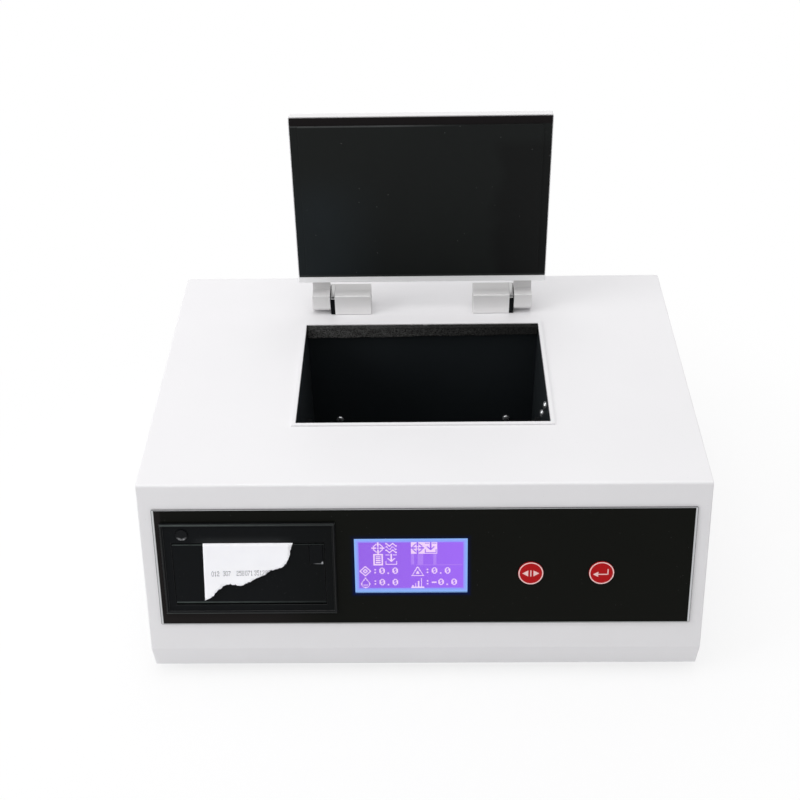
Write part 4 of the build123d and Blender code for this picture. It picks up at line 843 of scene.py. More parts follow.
# ---------------------------------------------------------------- case
class COLORIMETER_OT_case(Operator):
    """Paints the cover, tray and feet, and rounds their edges"""

    bl_idname = "colorimeter.case"
    bl_label = "Case"

    def execute(self, context):
        settings = context.scene.colorimeter_paint
        soften("top_cover", settings.case_edge, segments=3)
        soften("base_tray", 0.4 * MM)
        soften("rubber_feet", 0.8 * MM, segments=3)
        dress_screws("bottom_screws", [LEVEL.out])
        return {"FINISHED"}


class COLORIMETER_OT_lid(Operator):
    """Makes the lid's painted tray and its black liner"""

    bl_idname = "colorimeter.lid"
    bl_label = "Lid"

    def execute(self, context):
        settings = context.scene.colorimeter_paint
        lid_paint = paint("lid_paint", settings.white, 0.3, LID, areas=self.lid_areas)
        soften("lid_shell", settings.case_edge, lid_paint, segments=3)
        soften("lid_liner", 0.5 * MM, segments=3)
        dress_screws("lid_screws", [LID.out])
        return {"FINISHED"}

    def lid_areas(self, finish):
        """Painted light on the hem round the liner, which is brighter, and painted shade on the lid's free edge,
        which is darker.
        """
        high = LID.box("lid_shell")[1]
        x, up, out = finish.parts(finish.place(LID))
        # painted light: the hem round the liner is made brighter
        yield out.step(high.z - 1.2 * MM, high.z - 0.8 * MM), linear(253, 253, 254)
        # painted shade: the lid's free edge is made darker
        yield up.step(high.y - 1.2 * MM, high.y - 0.4 * MM), linear(223, 222, 223)


class COLORIMETER_OT_hinges(Operator):
    """Makes the two metal hinges of the lid"""

    bl_idname = "colorimeter.hinges"
    bl_label = "Hinges"

    def execute(self, context):
        # painted shade: the tops get darker tints than the fronts; the arm's top is lighter, as painted light
        # against the lid's shadow
        painted_top_tints = {"base": linear(209, 208, 208), "arm": linear(223, 222, 222)}
        for side in ("left", "right"):
            for block, top in painted_top_tints.items():
                node = f"hinge_{block}_{side}"
                soften(node, 0.45 * MM, self.block_finish(node, top), segments=3)
        soften("hinge_pins", 0.2 * MM)
        dress_screws("hinge_screws", [LEVEL.out])
        self.add_washers()
        return {"FINISHED"}

    def block_finish(self, node, top):
        """Satin alloy with streaked marks; its top is painted darker and its front painted brighter, as painted
        shade and painted light.
        """
        finish = Finish(f"{node}_alloy", metallic=0.08, specular_ior_level=0.4)
        y = finish.parts(finish.place())[1]
        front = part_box(node)[0].y
        lit_front = y.step(front + 0.5 * MM, front + 0.1 * MM)
        marks = finish.noise(finish.place(scale=(0.25, 1, 1)), 0.5 * MM, detail=4.0, roughness=0.65)
        clouds = finish.noise(finish.place(), 14 * MM, detail=3.0)
        # painted light: the front face gets a brighter tone than the top
        tone = finish.mix(lit_front, top, linear(247, 246, 246))
        wear = finish.mix(clouds * 0.6 + marks * 0.4, (0.92, 0.92, 0.92), (1.0, 1.0, 1.0))
        return finish.set(
            base_color=finish.mix(1.0, tone, wear, "MULTIPLY"),
            roughness=marks * 0.14 + clouds * 0.1 + 0.26,
            normal=finish.bump(marks, 0.006 * MM, strength=0.6),
        ).material

    def add_washers(self):
        """Dark friction washers between the blocks, each with a bright spring plate on top."""
        washers, plates = bmesh.new(), bmesh.new()
        pivot = Vector(joints["lid_hinge"]["pos_m"])
        pin_low, pin_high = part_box("hinge_pins")
        bore = (pin_high.z - pin_low.z) / 2 + 0.1 * MM
        arm_gap = 0.3 * MM
        plate_height, plate_inset, plate_share = 3 * MM, 0.1 * MM, 0.9  # the share of the gap's width
        side_inset, foot_inset, top_inset = 0.4 * MM, 0.1 * MM, 0.5 * MM
        for side, outward in (("left", -1), ("right", 1)):
            low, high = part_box(f"hinge_base_{side}")
            arm_low, arm_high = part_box(f"hinge_arm_{side}")
            block = low.x if outward < 0 else high.x
            arm = arm_high.x if outward < 0 else arm_low.x
            free = arm - arm_gap * outward
            near = Vector((min(block, free), low.y + side_inset, low.z + foot_inset))
            far = Vector((max(block, free), high.y - side_inset, high.z - top_inset))
            bored_plate(washers, near, far, pivot, bore)
            width = plate_share * abs(block - free)
            middle = Vector((block + width / 2 * outward, (low.y + high.y) / 2, high.z - plate_height / 2))
            size = Matrix.Diagonal((width, high.y - low.y - 2 * plate_inset, plate_height, 1))
            bmesh.ops.create_cube(plates, size=1, matrix=Matrix.Translation(middle) @ size)
        rounding = {"offset": 0.3 * MM, "segments": 2, "profile": 0.5, "affect": "EDGES", "material": -1}
        bmesh.ops.bevel(plates, geom=plates.edges[:], **rounding)
        add_piece("hinge_washers", washers, "case", "black_plastic")
        add_piece("hinge_spring_plates", plates, "case", "bare_steel")


# ---------------------------------------------------------------- chamber
class COLORIMETER_OT_chamber(Operator):
    """Makes the sample chamber, its foam strip, cell holder and screws"""

    bl_idname = "colorimeter.chamber"
    bl_label = "Sample chamber"

    def execute(self, context):
        soften("chamber_box", 0.5 * MM)
        for node in ("chamber_bracket", "cell_holder", "port_rings"):
            soften(node, 0.3 * MM)
        soften("port_glasses", 0.15 * MM)
        # a darker, less metallic copy of the screw metal for the screws inside the chamber, as painted shade
        dark = metal("dark_screws", linear(188, 189, 191), 0.26, metallic=0.8)
        dress_screws("chamber_screws", [Vector((1, 0, 0)), Vector((0, 1, 0)), LEVEL.out], dark)
        self.add_foam()
        return {"FINISHED"}

    def add_foam(self):
        """A torn-looking foam strip: a finely cut block whose skin is pushed about."""
        low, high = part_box("foam_strip")
        middle, size = (low + high) / 2, high - low
        pitch, pit_depth, droop_depth, corner_depth = 0.8 * MM, 0.5 * MM, 0.6 * MM, 1.2 * MM
        corner_length = 4 * MM
        pit_lumps, rise_lumps, droop_lumps = 700, 55, 45  # per metre
        bm = bmesh.new()
        bmesh.ops.create_cube(bm, size=1, matrix=Matrix.Translation(middle) @ Matrix.Diagonal((*size, 1)))
        for axis, normal in enumerate(Matrix.Identity(3)):
            slices = int(size[axis] / pitch)
            cut_up(bm, normal, low[axis], size[axis] / slices, slices)
        for vertex in bm.verts:
            inward = (middle - vertex.co).normalized()
            pit = max(0.0, noise.noise(vertex.co * pit_lumps) + 0.25) * pit_depth
            along = (vertex.co.x - low.x) / size.x
            below = (high.z - vertex.co.z) / size.z
            rise = (0.09 + 0.22 * along + 0.09 * noise.noise(vertex.co * rise_lumps)) * size.z
            front = (high.y - vertex.co.y) / size.y
            sag = noise.noise(Vector((vertex.co.x * droop_lumps, 3, 0)))
            droop = (0.4 + 0.5 * sag) * front * (1 - below)
            corner = max(0.0, 1 - along * size.x / corner_length) * front
            moved = Vector((0, corner * corner_depth, rise * below - droop * droop_depth))
            vertex.co += inward * pit + moved
        foam = add_piece("foam_strip_cut", bm, "case", "grey_foam", replaces=["foam_strip"], sharp=180)


# ---------------------------------------------------------------- front panel
def film_finish(settings):
    """Printed film: black inside, with a clear margin that shows its pale backing; painted light from the display
    round its window, painted highlights beside the printer frame, and a dark cut edge that is partly painted
    shade.
    """
    middle, half = halves(*SLOPE.box("front_panel"))
    finish = Finish("panel_film", specular_ior_level=0.05)
    place = finish.place(SLOPE, middle)
    x, up, out = finish.parts(place)
    clouds = finish.noise(place, 45 * MM, detail=3.0)
    fine = finish.noise(place, 0.6 * MM)
    print_x = half.x - settings.margin
    print_up = half.y - 0.4 * settings.margin  # narrower above and below
    margin = (abs(x) - print_x).larger(abs(up) - print_up).step(-0.1 * MM, 0.1 * MM)
    # the film's cut edge is drawn darker, partly as painted shade of the edge
    rim = (abs(x) - half.x).larger(abs(up) - half.y).step(-0.4 * MM, -0.25 * MM)
    window, opening = window_opening()
    beside, above, out = finish.parts(finish.place(SLOPE, window))
    beyond = (abs(beside) - opening.x / 2).larger(abs(above) - opening.y / 2)
    # painted light: the display's blue light spread over the film beside the window
    painted_glow = beyond.step(settings.halo, 0) * (above.step(opening.y / 2, -opening.y / 2) * 0.35 + 0.65)
    start, end = (corner - middle for corner in SLOPE.front("printer_frame"))
    # painted highlights on the film along the printer frame's lower and left edges
    under = up.step(start.y + 0.5 * MM, start.y) * x.step(end.x, (start.x + end.x) / 2)
    left = x.step(start.x + 0.5 * MM, start.x)
    tone = finish.layers(
        finish.mix(clouds, shade(settings.film, 0.9), shade(settings.film, 1.15)),
        (finish.dust(place, 4 * MM, share=0.05) * 0.2, linear(140, 140, 138)),
        (painted_glow * painted_glow, settings.halo_blue),
        (under.larger(left) * 0.85, linear(31, 28, 28)),
        (margin, linear(206, 207, 209)),
        (rim, linear(112, 112, 114)),
    )
    return finish.set(
        base_color=tone,
        roughness=clouds * 0.06 + fine * 0.05 + 0.3,
        normal=finish.bump(fine, 0.006 * MM, strength=0.5),
    ).material


class COLORIMETER_OT_panel(Operator):
    """Makes the printed film on the sloped front"""

    bl_idname = "colorimeter.panel"
    bl_label = "Panel film"

    def execute(self, context):
        settings = context.scene.colorimeter_panel
        soften("front_panel", settings.bevel, film_finish(settings))
        return {"FINISHED"}


# ---------------------------------------------------------------- display
COLUMNS, ROWS = 128, 64  # dots of the display
SCREEN_FIGURES = {
    "0": ("0011100", "0110110", "1100011", "1100111", "1101011", "1110011", "1100011", "0110110", "0011100"),
    ".": ("0000000",) * 7 + ("0011000",) * 2,
    ":": ("0000000",) * 2 + ("0011000",) * 2 + ("0000000",) * 2 + ("0011000",) * 2 + ("0000000",),
    "-": ("0000000",) * 4 + ("1111110",) * 2 + ("0000000",) * 3,
}


# signs of the screen: each says whether the dot at x and y from its middle is lit
def ring_sign(x, y):
    distance = math.hypot(x, y)
    tick = (abs(x) < 0.6 or abs(y) < 0.6) and 2.5 < distance < 7.6
    return 4.9 < distance < 6.1 or distance < 1.1 or tick


def wave_sign(x, y):
    waves = any(abs(y - offset - 1.8 * math.sin(0.8 * x)) < 0.8 for offset in (-4.5, 0, 4.5))
    return abs(x) < 7 and waves


def sheet_sign(x, y):
    edge = max(abs(x) - 5.5, abs(y) - 7.5)
    lines = edge < -2 and any(abs(y - offset) < 0.6 for offset in (-4, -1, 2, 5))
    return -1.1 < edge <= 0 or lines


def arrow_sign(x, y):
    shaft = abs(x) < 0.6 and -2 < y < 8
    head = abs(abs(x) - y - 2.5) < 0.8 and -3 < y < 2
    tray = abs(y + 6.5) < 0.6 and abs(x) < 7 or abs(abs(x) - 6.5) < 0.6 and -7 < y < -2
    lid = abs(y - 6.5) < 0.6 and 2 < abs(x) < 7
    return shaft or head or tray or lid


def drop_sign(x, y):
    def within(radius, tip):
        return math.hypot(x, y + 2) < radius or (y > -1 and abs(x) < (tip - y) * 0.62)

    return within(5.6, 7.6) and not within(4.5, 5.6) or abs(y + 3.5) < 0.6 and abs(x) < 2.6


def triangle_sign(x, y):
    def within(foot, tip):
        return foot < y < tip and abs(x) < (tip - y) * 0.54

    return within(-7, 7.4) and not within(-5.9, 5) or within(-4, 0.5)


def diamond_sign(x, y):
    distance = abs(x) + abs(y)
    return 5.5 < distance < 7.5 or 1.5 < distance < 3.5


def steps_sign(x, y):
    steps = any(abs(x - offset) < 0.9 and -7 < y < 0.9 * offset + 1.5 for offset in (-6, -2.5, 1, 4.5))
    return steps or abs(y + 7) < 0.6


def sign_dots(sign, column, row):
    """Lit dots of a 16 by 16 sign whose top left dot is given."""
    return {(column + i, row + j) for i in range(16) for j in range(16) if sign(i - 7.5, 7.5 - j)}


def figure_dots(figures, text, column, row, advance=8):
    """Lit dots of a line of figures."""
    return {
        (column + advance * place + i, row + j)
        for place, figure in enumerate(text)
        for j, line in enumerate(figures[figure])
        for i, dot in enumerate(line)
        if dot == "1"
    }


def screen_dots():
    """Lit dots of the measuring screen, as (column, row) from the top left."""
    lit = sign_dots(ring_sign, 16, 0) | sign_dots(wave_sign, 32, 0)
    lit |= sign_dots(sheet_sign, 16, 16) | sign_dots(arrow_sign, 32, 16)
    lit |= sign_dots(diamond_sign, 0, 32) | sign_dots(triangle_sign, 64, 32)
    lit |= sign_dots(drop_sign, 0, 48) | sign_dots(steps_sign, 64, 48)
    for text, column, row in ((":0.0", 17, 35), (":0.0", 81, 35), (":0.0", 17, 51), (":-0.0", 81, 51)):
        lit |= figure_dots(SCREEN_FIGURES, text, column, row)
    block = {(column, row) for column in range(64, 96) for row in range(16)}
    return lit | (block - sign_dots(ring_sign, 64, 0) - sign_dots(arrow_sign, 80, 0))


def streak_dots():
    """Half lit dots: pale streaks under the bright block, and a line across."""
    columns = [*range(64, 68), *range(72, 79), *range(91, 95)]
    streaks = {(column, row) for column in columns for row in range(16, 31)}
    return streaks | {(column, 31) for column in range(70, 126)}


def runs(lit):
    """Rows of neighbouring lit dots, as (row, first column, last column)."""
    for row in range(ROWS):
        first = None
        for column in range(COLUMNS + 1):
            if (column, row) in lit and first is None:
                first = column
            elif (column, row) not in lit and first is not None:
                yield row, first, column - 1
                first = None


def screen_finish(name, tint):
    """A lit layer of the display."""
    finish = Finish(name, base_color=(0.01, 0.01, 0.02), roughness=0.35)
    clouds = finish.noise(finish.place(SLOPE), 20 * MM)
    light = finish.mix(clouds, shade(tint, 0.93), shade(tint, 1.05))
    return finish.set(emission_color=light, emission_strength=1.0, specular_ior_level=0.1)


def pane_finish(settings, middle, half_x, half_up):
    """Pale blue border, bluer towards a violet field that has a faint grid between its dots."""
    finish = screen_finish("display_pane", settings.border)
    x, up, out = finish.parts(finish.place(SLOPE, middle))
    beyond = (abs(x) - half_x).larger(abs(up) - half_up)
    clouds = finish.noise(finish.place(SLOPE), 14 * MM, detail=3.0)
    edge = finish.mix(clouds, shade(settings.edge, 0.94), shade(settings.edge, 1.05))
    border = finish.mix(beyond.step(0, settings.border_x), settings.border, edge)
    dot_half = 0.42  # of a dot's width and height, from its middle
    gaps = [
        abs((axis * (count / (2 * half)) + 0.5).fraction() - 0.5) > dot_half
        for axis, half, count in ((x, half_x, COLUMNS), (up, half_up, ROWS))
    ]
    tone = finish.mix(x * (0.5 / half_x) + 0.5, shade(settings.field, 0.97), shade(settings.field, 1.12))
    field = finish.mix(gaps[0].larger(gaps[1]) * 0.12, tone, settings.border)
    return finish.set(emission_color=finish.mix(beyond.step(0.3 * MM, -0.5 * MM), border, field)).material


class COLORIMETER_OT_display(Operator):
    """Makes the lit display with its dots, and its window"""

    bl_idname = "colorimeter.display"
    bl_label = "Display"

    def execute(self, context):
        settings = context.scene.colorimeter_display
        middle, opening = window_opening()
        half_x = opening.x / 2 - settings.border_x
        half_up = opening.y / 2 - settings.border_up
        pane = pane_finish(settings, middle, half_x, half_up)
        # the lit face fills the frame's opening, right behind the window
        face = SLOPE.box("display_window")[0].z - 0.1 * MM
        behind = SLOPE.box("display_glass")[1].z
        bm = bmesh.new()
        lit = opening - Vector((0.2 * MM, 0.2 * MM))
        plate(bm, SLOPE, *middle.xy, behind, *lit, face - behind)
        add_piece("display_face", bm, "case", "display_pink", pane)
        soften("display_glass", 0.1 * MM, pane)
        soften("display_window", 0.15 * MM)
        frame_paint = metal("display_frame_paint", linear(14, 16, 26), 0.5, metallic=0.3)
        soften("display_frame", 0.2 * MM, frame_paint)
        field = (middle, half_x, half_up, face)
        self.add_dots("display_dots", screen_dots(), screen_finish("lit_dots", settings.dot), field)
        streaks = streak_dots() - screen_dots()
        self.add_dots("display_streaks", streaks, screen_finish("pale_dots", settings.streak), field)
        return {"FINISHED"}

    def add_dots(self, name, lit, finish, field):
        """Lays a thin lit plate on the field for each run of dots."""
        middle, half_x, half_up, face = field
        bm = bmesh.new()
        dot_x, dot_up = 2 * half_x / COLUMNS, 2 * half_up / ROWS
        lit_share = 0.88  # of a dot's width and height
        for row, first, last in runs(lit):
            x = middle.x - half_x + (first + last + 1) / 2 * dot_x
            up = middle.y + half_up - (row + 0.5) * dot_up
            plate(bm, SLOPE, x, up, face, (last - first + lit_share) * dot_x, lit_share * dot_up)
        add_piece(name, bm, "case", "display_pink", finish.material)


# ---------------------------------------------------------------- keys
class COLORIMETER_OT_keys(Operator):
    """Makes the two round red keys with their ring and symbol"""

    bl_idname = "colorimeter.keys"
    bl_label = "Keys"
    thickness = 0.03 * MM  # of the print

    def execute(self, context):
        settings = context.scene.colorimeter_keys
        self.settings = settings
        finish = Finish("key_print")
        marks = finish.noise(finish.place(SLOPE), 1.5 * MM, detail=3.0)
        finish.set(
            base_color=finish.mix(marks, shade(settings.print_white, 0.9), settings.print_white),
            roughness=marks * 0.1 + 0.35,
        )
        for node, draw in (("select_button", self.draw_arrows), ("confirm_button", self.draw_return)):
            soften(node, 0.25 * MM, segments=3)
            low, high = SLOPE.box(node)
            middle = Vector(((low.x + high.x) / 2, (low.y + high.y) / 2, high.z))
            bm = bmesh.new()
            self.draw_ring(bm)
            draw(bm)
            bmesh.ops.transform(bm, matrix=SLOPE.at(*middle), verts=bm.verts)
            add_piece(f"{node}_print", bm, body_of(node), "red_plastic", finish.material)
        return {"FINISHED"}

    def draw_ring(self, bm):
        """The ring round a key's symbol."""
        outer = self.settings.ring_radius
        inner = outer - self.settings.ring_width
        top = self.thickness
        turned(bm, [(outer, 0), (outer, top), (inner, top), (inner, 0), (outer, 0)], 48)

    def bar(self, bm, x, y, width, height):
        """A straight stroke of the print."""
        size = Matrix.Diagonal((width, height, self.thickness, 1))
        bmesh.ops.create_cube(bm, size=1, matrix=Matrix.Translation((x, y, self.thickness / 2)) @ size)

    def wedge(self, bm, x, y, radius, angle):
        """A three-cornered arrow head that is turned by an angle."""
        spot = Matrix.Translation((x, y, self.thickness / 2)) @ Matrix.Rotation(angle, 4, "Z")
        wedge = {"segments": 3, "radius1": radius, "radius2": radius, "depth": self.thickness}
        bmesh.ops.create_cone(bm, cap_ends=True, matrix=spot, **wedge)

    def draw_arrows(self, bm):
        """Two arrow heads that point left and right, with a bar between them."""
        for side in (-1, 1):
            self.wedge(bm, side * 2.9 * MM, 0, 2.5 * MM, math.radians(-90 * side))
        self.bar(bm, 0, 0, self.settings.line, 4.4 * MM)

    def draw_return(self, bm):
        """An arrow that comes down and turns left."""
        line = self.settings.line
        self.bar(bm, 0.6 * MM, -0.9 * MM, 7.4 * MM, line)
        self.bar(bm, 4.0 * MM, 0.8 * MM, line, 3.4 * MM + line)
        self.wedge(bm, -3.2 * MM, -0.9 * MM, 2.2 * MM, math.radians(90))


# ---------------------------------------------------------------- printer
class COLORIMETER_OT_printer(Operator):
    """Makes the strip printer's housing, door, latch and button"""

    bl_idname = "colorimeter.printer"
    bl_label = "Strip printer"

    def execute(self, context):
        # the rounded edges are lighter and glossier: wear, and also painted highlights where the edges catch the
        # light
        worn = moulded("worn_and_lit_edges", linear(29, 30, 30), 0.3, gloss=0.4)
        soften("printer_frame", 0.25 * MM, self.rim_finish("printer_frame", 0.65 * MM, 0.2 * MM), edge=worn)
        soften("printer_door", 0.2 * MM, self.rim_finish("printer_door", 0.5 * MM, 0.45 * MM), edge=worn)
        soften("door_latch", 0.12 * MM, self.latch_finish())
        soften("feed_button", 0.1 * MM, self.button_finish())
        soften("print_head", 0.2 * MM)
        soften("feed_motor", 0.3 * MM)
        return {"FINISHED"}

    def across(self, finish, node):
        """Places on the front of a node: x and up from -1 to 1 between its edges."""
        middle, half = halves(*SLOPE.box(node))
        x, up, out = finish.parts(finish.place(SLOPE, middle))
        return x / half.x, up / half.y

    def rim_finish(self, node, above, below):
        """Black plastic with painted highlights that far along its upper and lower edges, and a painted reflection
        of the paper.
        """
        finish = Finish(f"{node}_plastic", specular_ior_level=0.06)
        middle, half = halves(*SLOPE.front(node))
        place = finish.place(SLOPE, middle)
        x, up, out = finish.parts(place)
        marks = finish.noise(place, 5 * MM, detail=4.0, roughness=0.6)
        fine = finish.noise(place, 0.35 * MM)
        # painted highlights along the upper and lower edges, fading to the right
        edge_highlight = up.step(half.y - above, half.y - 0.8 * above)
        edge_highlight = edge_highlight.larger(up.step(below - half.y, 0.8 * below - half.y))
        edge_highlight = edge_highlight * out.step(-0.6 * MM, -0.3 * MM) * (x.step(1.2 * half.x, -half.x) * 0.75 + 0.25)
        start, end = (corner - middle for corner in SLOPE.box("paper_strip"))
        # painted reflection of the paper
        mirrored = x.step(start.x - 8 * MM, start.x + 4 * MM) * x.step(end.x + 4 * MM, end.x - 12 * MM)
        mirrored = mirrored * up.step(end.y + 6 * MM, end.y) * (up > end.y)
        tone = finish.layers(
            finish.mix(marks, BLACK, linear(16, 18, 20)),
            (x.step(0, 1.1 * half.x) * 0.7, linear(8, 10, 10)),
            (mirrored * 0.75, linear(42, 44, 45)),
            (finish.dust(place, 2.5 * MM, share=0.09) * 0.08, DUST),
            (edge_highlight * (marks * 0.8 + 0.3), linear(78, 86, 84)),
        )
        return finish.set(
            base_color=tone,
            roughness=marks * 0.1 + fine * 0.06 + 0.34,
            normal=finish.bump(fine, 0.012 * MM, strength=0.7),
        ).material

    def button_finish(self):
        """Black button with a painted highlight: a pale crescent along its lower rim."""
        finish = Finish("feed_button", specular_ior_level=0.1)
        x, up = self.across(finish, "feed_button")
        radius = (x * x + up * up).root()
        # painted highlight: a pale crescent on the lower rim
        rim = radius.step(0.5, 0.68) * radius.step(1.02, 0.88) * up.step(-0.2, -0.75)
        marks = finish.noise(finish.place(), 0.9 * MM, detail=4.0, roughness=0.7)
        grey = finish.mix(marks.step(0.35, 0.65), linear(20, 21, 23), linear(150, 151, 153))
        tone = finish.mix(rim, linear(13, 15, 17), grey)
        return finish.set(base_color=tone, roughness=marks * 0.2 + 0.25).material

    def latch_finish(self):
        """Black plastic with a painted glint at one corner and a painted highlight along its lower edge."""
        finish = Finish("latch_plastic", specular_ior_level=0.06)
        x, up = self.across(finish, "door_latch")
        beside, above = x - 0.93, up + 0.9
        # painted glint at the lower right corner
        painted_glint = (beside * beside + above * above).step(0.06, 0.01)
        marks = finish.noise(finish.place(), 0.5 * MM)
        # painted highlight along the lower edge
        foot = up.step(-0.84, -0.94) * x.step(-0.6, 0.2) * 0.35
        tone = finish.mix(painted_glint.larger(foot), BLACK, linear(170, 172, 175))
        return finish.set(base_color=tone, roughness=marks * 0.1 + 0.35).material


PRINT_FIGURES = {
    "0": ("01110", "10001", "10001", "10001", "10001", "10001", "01110"),
    "1": ("00100", "01100", "00100", "00100", "00100", "00100", "01110"),
    "2": ("01110", "10001", "00001", "00110", "01000", "10000", "11111"),
    "3": ("01110", "10001", "00001", "00110", "00001", "10001", "01110"),
    "5": ("11111", "10000", "11110", "00001", "00001", "10001", "01110"),
    "7": ("11111", "00001", "00010", "00100", "01000", "01000", "01000"),
    "8": ("01110", "10001", "10001", "01110", "10001", "10001", "01110"),
    ".": ("00000", "00000", "00000", "00000", "00000", "01100", "01100"),
}


class COLORIMETER_OT_paper(Operator):
    """Makes the torn paper strip with its line of printed figures"""

    bl_idname = "colorimeter.paper"
    bl_label = "Paper strip"

    def execute(self, context):
        settings = context.scene.colorimeter_paper
        self.low, self.high = SLOPE.box("paper_strip")
        self.add_strip(settings)
        self.add_print(settings)
        return {"FINISHED"}

    def lift(self, x, up):
        """How far the paper stands off the door at a point of the face."""
        down = (self.high.y - up) / (self.high.y - self.low.y)
        along = (x - self.low.x) / (self.high.x - self.low.x)
        curl = (1.6 * down * down + 0.8 * down) * (0.6 + 0.4 * along)
        spot = Vector((x, up, 0))
        waves, creases = 110, 260  # lumps per metre
        wrinkle = 0.4 * noise.noise(spot * waves) + 0.2 * noise.noise(spot * creases) + 0.15
        return max(0.0, curl + min(1.0, 4 * down) * wrinkle) * MM

    def add_strip(self, settings):
        """A torn, curled sheet whose straight edges stay and whose top edge is tucked in."""
        bm = merged_copy("paper_strip")
        bmesh.ops.transform(bm, matrix=SLOPE.matrix.inverted(), verts=bm.verts)
        front = max((f for f in bm.faces if f.normal.z > 0.99), key=lambda f: f.calc_area())
        face_out = front.verts[0].co.z
        bmesh.ops.delete(bm, geom=[f for f in bm.faces if f is not front], context="FACES")
        top = self.high.y
        fibres, flakes = 1300, 420  # lumps per metre along the tear
        torn = [e for e in bm.edges if min(v.co.y for v in e.verts) < top - 10 * HAIR and not self.is_side(e)]
        bmesh.ops.subdivide_edges(bm, edges=torn, cuts=9, use_grid_fill=False)
        for vertex in bm.verts:
            if vertex.co.y < top - 1 * MM and vertex.co.x > self.low.x + 2 * MM:
                fine = noise.noise(vertex.co * fibres)
                coarse = round(4 * noise.noise(vertex.co * flakes)) / 4
                vertex.co.x += settings.tear * (0.5 * fine + 0.6 * coarse)
                vertex.co.y += settings.tear * abs(0.5 * fine - 1.2 * coarse)
        for axis, normal in enumerate(Matrix.Identity(3)[:2]):
            slices = int((self.high[axis] - self.low[axis]) / settings.grid)
            cut_up(bm, normal, self.low[axis], settings.grid, slices)
        for vertex in bm.verts:
            vertex.co.z = face_out + self.lift(vertex.co.x, vertex.co.y)
        top_edges = [e for e in bm.edges if e.is_boundary and all(v.co.y > top - 20 * HAIR for v in e.verts)]
        tucked = bmesh.ops.extrude_edge_only(bm, edges=top_edges)["geom"]
        for vertex in (item for item in tucked if isinstance(item, bmesh.types.BMVert)):
            vertex.co.z = self.low.z
        bmesh.ops.triangulate(bm, faces=[f for f in bm.faces if len(f.verts) > 4])
        bmesh.ops.transform(bm, matrix=SLOPE.matrix, verts=bm.verts)
        self.sheet = BVHTree.FromBMesh(bm)
        strip = add_piece("paper_strip_torn", bm, "door", "white_paper", replaces=["paper_strip"], sharp=180)
        thickness = strip.modifiers.new("paper thickness", "SOLIDIFY")
        thickness.thickness = 0.08 * MM
        thickness.offset = -1

    def is_side(self, edge):
        """Whether an edge is one of the strip's long straight sides."""
        return abs(edge.verts[0].co.x - edge.verts[1].co.x) < 1.5 * MM and edge.calc_length() > 20 * MM

    def add_print(self, settings):
        """A faded line of figures that climbs to the right."""
        finish = Finish("faded_ink")
        fading = finish.noise(finish.place(SLOPE), 2 * MM, detail=3.0)
        finish.set(
            base_color=finish.mix(fading, shade(settings.ink, 0.5), shade(settings.ink, 2.6)),
            roughness=fading * 0.1 + 0.6,
        )
        bm = bmesh.new()
        dot, dot_up, thickness = settings.dot, settings.dot_up, 0.01 * MM
        column = 0
        for text, gap in (("012", 7), ("307", 12), ("258", 1), ("071", 2), ("3512", 1), ("80", 0)):
            for i, j in sorted(figure_dots(PRINT_FIGURES, text, column, 0, 6)):
                x = self.low.x + settings.print_left + i * dot
                up = self.high.y - settings.print_down - j * dot_up + settings.print_climb * i * dot
                above = SLOPE.at(x, up, self.high.z + 10 * MM).translation
                spot = self.sheet.ray_cast(above, -SLOPE.out)[0]
                if spot:
                    height = spot.dot(SLOPE.out) + thickness
                    plate(bm, SLOPE, x, up, height, 0.95 * dot, 0.85 * dot_up, thickness)
            column += 6 * len(text) + gap
        add_piece("paper_print", bm, "door", "white_paper", finish.material)


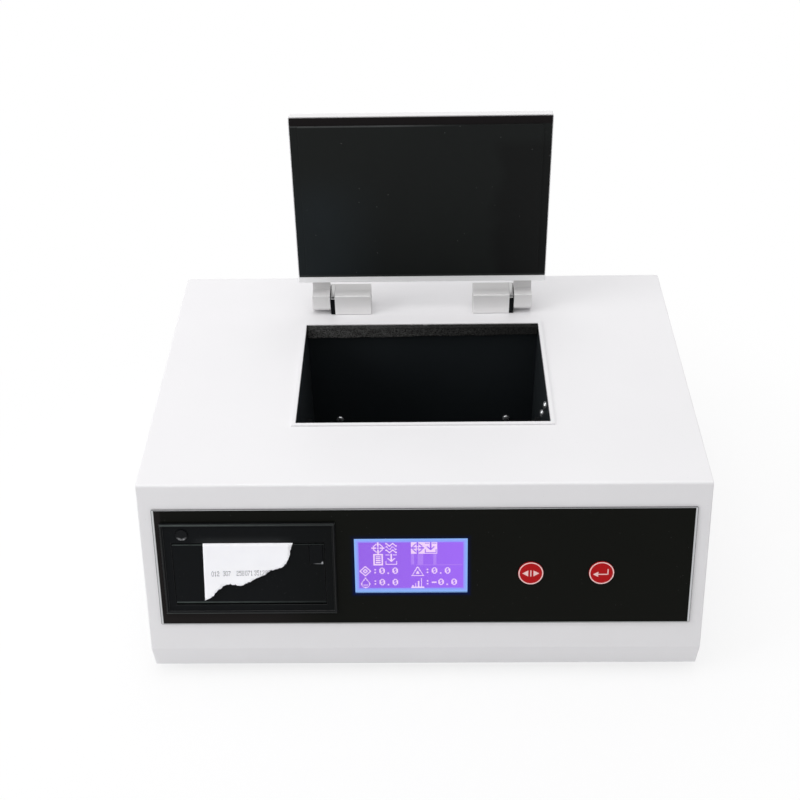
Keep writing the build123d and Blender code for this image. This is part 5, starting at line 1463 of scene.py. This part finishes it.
# ---------------------------------------------------------------- rear and insides
class COLORIMETER_OT_rear(Operator):
    """Makes the rear panel with the inlet, switch, port and fan"""

    bl_idname = "colorimeter.rear"
    bl_label = "Rear panel"

    def execute(self, context):
        soften("rear_panel", 0.25 * MM)
        dress_screws("rear_screws", [Vector((0, 1, 0))])
        for node in ("power_inlet", "power_switch", "switch_rocker", "fan_frame", "fan_rotor"):
            soften(node, 0.3 * MM)
        soften("serial_port", 0.25 * MM, self.port_finish())
        soften("inlet_pins", 0.3 * MM)
        self.add_marks()
        return {"FINISHED"}

    def port_finish(self):
        """Bright shell round a dark block that holds the contacts."""
        middle, half = halves(*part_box("serial_port"))
        block_x, block_z, lean = 7.4 * MM, 3.5 * MM, 0.06
        finish = Finish("port_metal")
        place = finish.place(centre=middle)
        x, y, z = finish.parts(place)
        marks = finish.noise(place, 0.8 * MM, detail=3.0)
        block = (abs(x) - z * lean < block_x) * (abs(z) < block_z) * (y > half.y - 0.2 * MM)
        steel = finish.mix(marks, linear(196, 197, 199), linear(212, 213, 214))
        return finish.set(
            base_color=finish.mix(block, steel, linear(24, 26, 31)),
            metallic=0.9 - block * 0.9,
            roughness=marks * 0.1 + block * 0.15 + 0.22,
        ).material

    def add_marks(self):
        """A bar and a ring printed on the two ends of the rocker."""
        finish = Finish("rocker_print")
        worn = finish.noise(finish.place(), 1.2 * MM, detail=3.0)
        white = finish.mix(worn, linear(188, 188, 186), linear(226, 226, 224))
        finish.set(base_color=white, roughness=worn * 0.1 + 0.4)
        rocker = merged_copy("switch_rocker")
        surface = BVHTree.FromBMesh(rocker)
        rocker.free()
        low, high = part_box("switch_rocker")
        middle, quarter = (low + high) / 2, (high.x - low.x) / 4
        height, line, bar = 0.02 * MM, 0.6 * MM, 3.4 * MM
        outer, inner = 1.8 * MM, 1.25 * MM
        bm = bmesh.new()
        for side in (-1, 1):
            start = Vector((middle.x + side * quarter, high.y + 10 * MM, middle.z))
            spot, normal = surface.ray_cast(start, Vector((0, -1, 0)))[:2]
            matrix = Matrix.Translation(spot) @ normal.to_track_quat("Z", "Y").to_matrix().to_4x4()
            if side > 0:
                size = Matrix.Diagonal((line, bar, 2 * height, 1))
                bmesh.ops.create_cube(bm, size=1, matrix=matrix @ size)
            else:
                ring = turned(bm, [(outer, 0), (outer, height), (inner, height), (inner, 0), (outer, 0)])
                bmesh.ops.transform(bm, matrix=matrix, verts=ring)
        add_piece("rocker_print", bm, body_of("switch_rocker"), "black_plastic", finish.material)


class COLORIMETER_OT_insides(Operator):
    """Gives the pieces inside their finishes"""

    bl_idname = "colorimeter.insides"
    bl_label = "Insides"

    def execute(self, context):
        for node, slot in slot_of.items():
            if not nodes[node].hide_render:
                materials = nodes[node].data.materials
                materials.clear()
                materials.append(finish_of(slot))
        return {"FINISHED"}


# ---------------------------------------------------------------- sidebar
OPERATORS = (
    COLORIMETER_OT_stage,
    COLORIMETER_OT_case,
    COLORIMETER_OT_lid,
    COLORIMETER_OT_hinges,
    COLORIMETER_OT_chamber,
    COLORIMETER_OT_panel,
    COLORIMETER_OT_display,
    COLORIMETER_OT_keys,
    COLORIMETER_OT_printer,
    COLORIMETER_OT_paper,
    COLORIMETER_OT_rear,
    COLORIMETER_OT_insides,
)


class COLORIMETER_PT_pieces(Panel):
    """Lists the settings and the pieces of the colorimeter"""

    bl_idname = "COLORIMETER_PT_pieces"
    bl_label = "Colorimeter"
    bl_space_type = "VIEW_3D"
    bl_region_type = "UI"
    bl_category = "Colorimeter"

    def draw(self, context):
        for group, kind in GROUPS.items():
            box = self.layout.box()
            for name in kind.__annotations__:
                box.prop(getattr(context.scene, group), name)
        for operator in OPERATORS:
            self.layout.operator(operator.bl_idname)


CLASSES = (*GROUPS.values(), *OPERATORS, COLORIMETER_PT_pieces)


def register():
    for kind in CLASSES:
        bpy.utils.register_class(kind)
    for name, kind in GROUPS.items():
        setattr(bpy.types.Scene, name, PointerProperty(type=kind))


def unregister():
    for name in GROUPS:
        delattr(bpy.types.Scene, name)
    for kind in reversed(CLASSES):
        bpy.utils.unregister_class(kind)


def main():
    register()
    bpy.context.scene.view_settings.view_transform = "Standard"
    for operator in OPERATORS:
        group, name = operator.bl_idname.split(".")
        getattr(getattr(bpy.ops, group), name)()


if __name__ == "__main__":
    main()
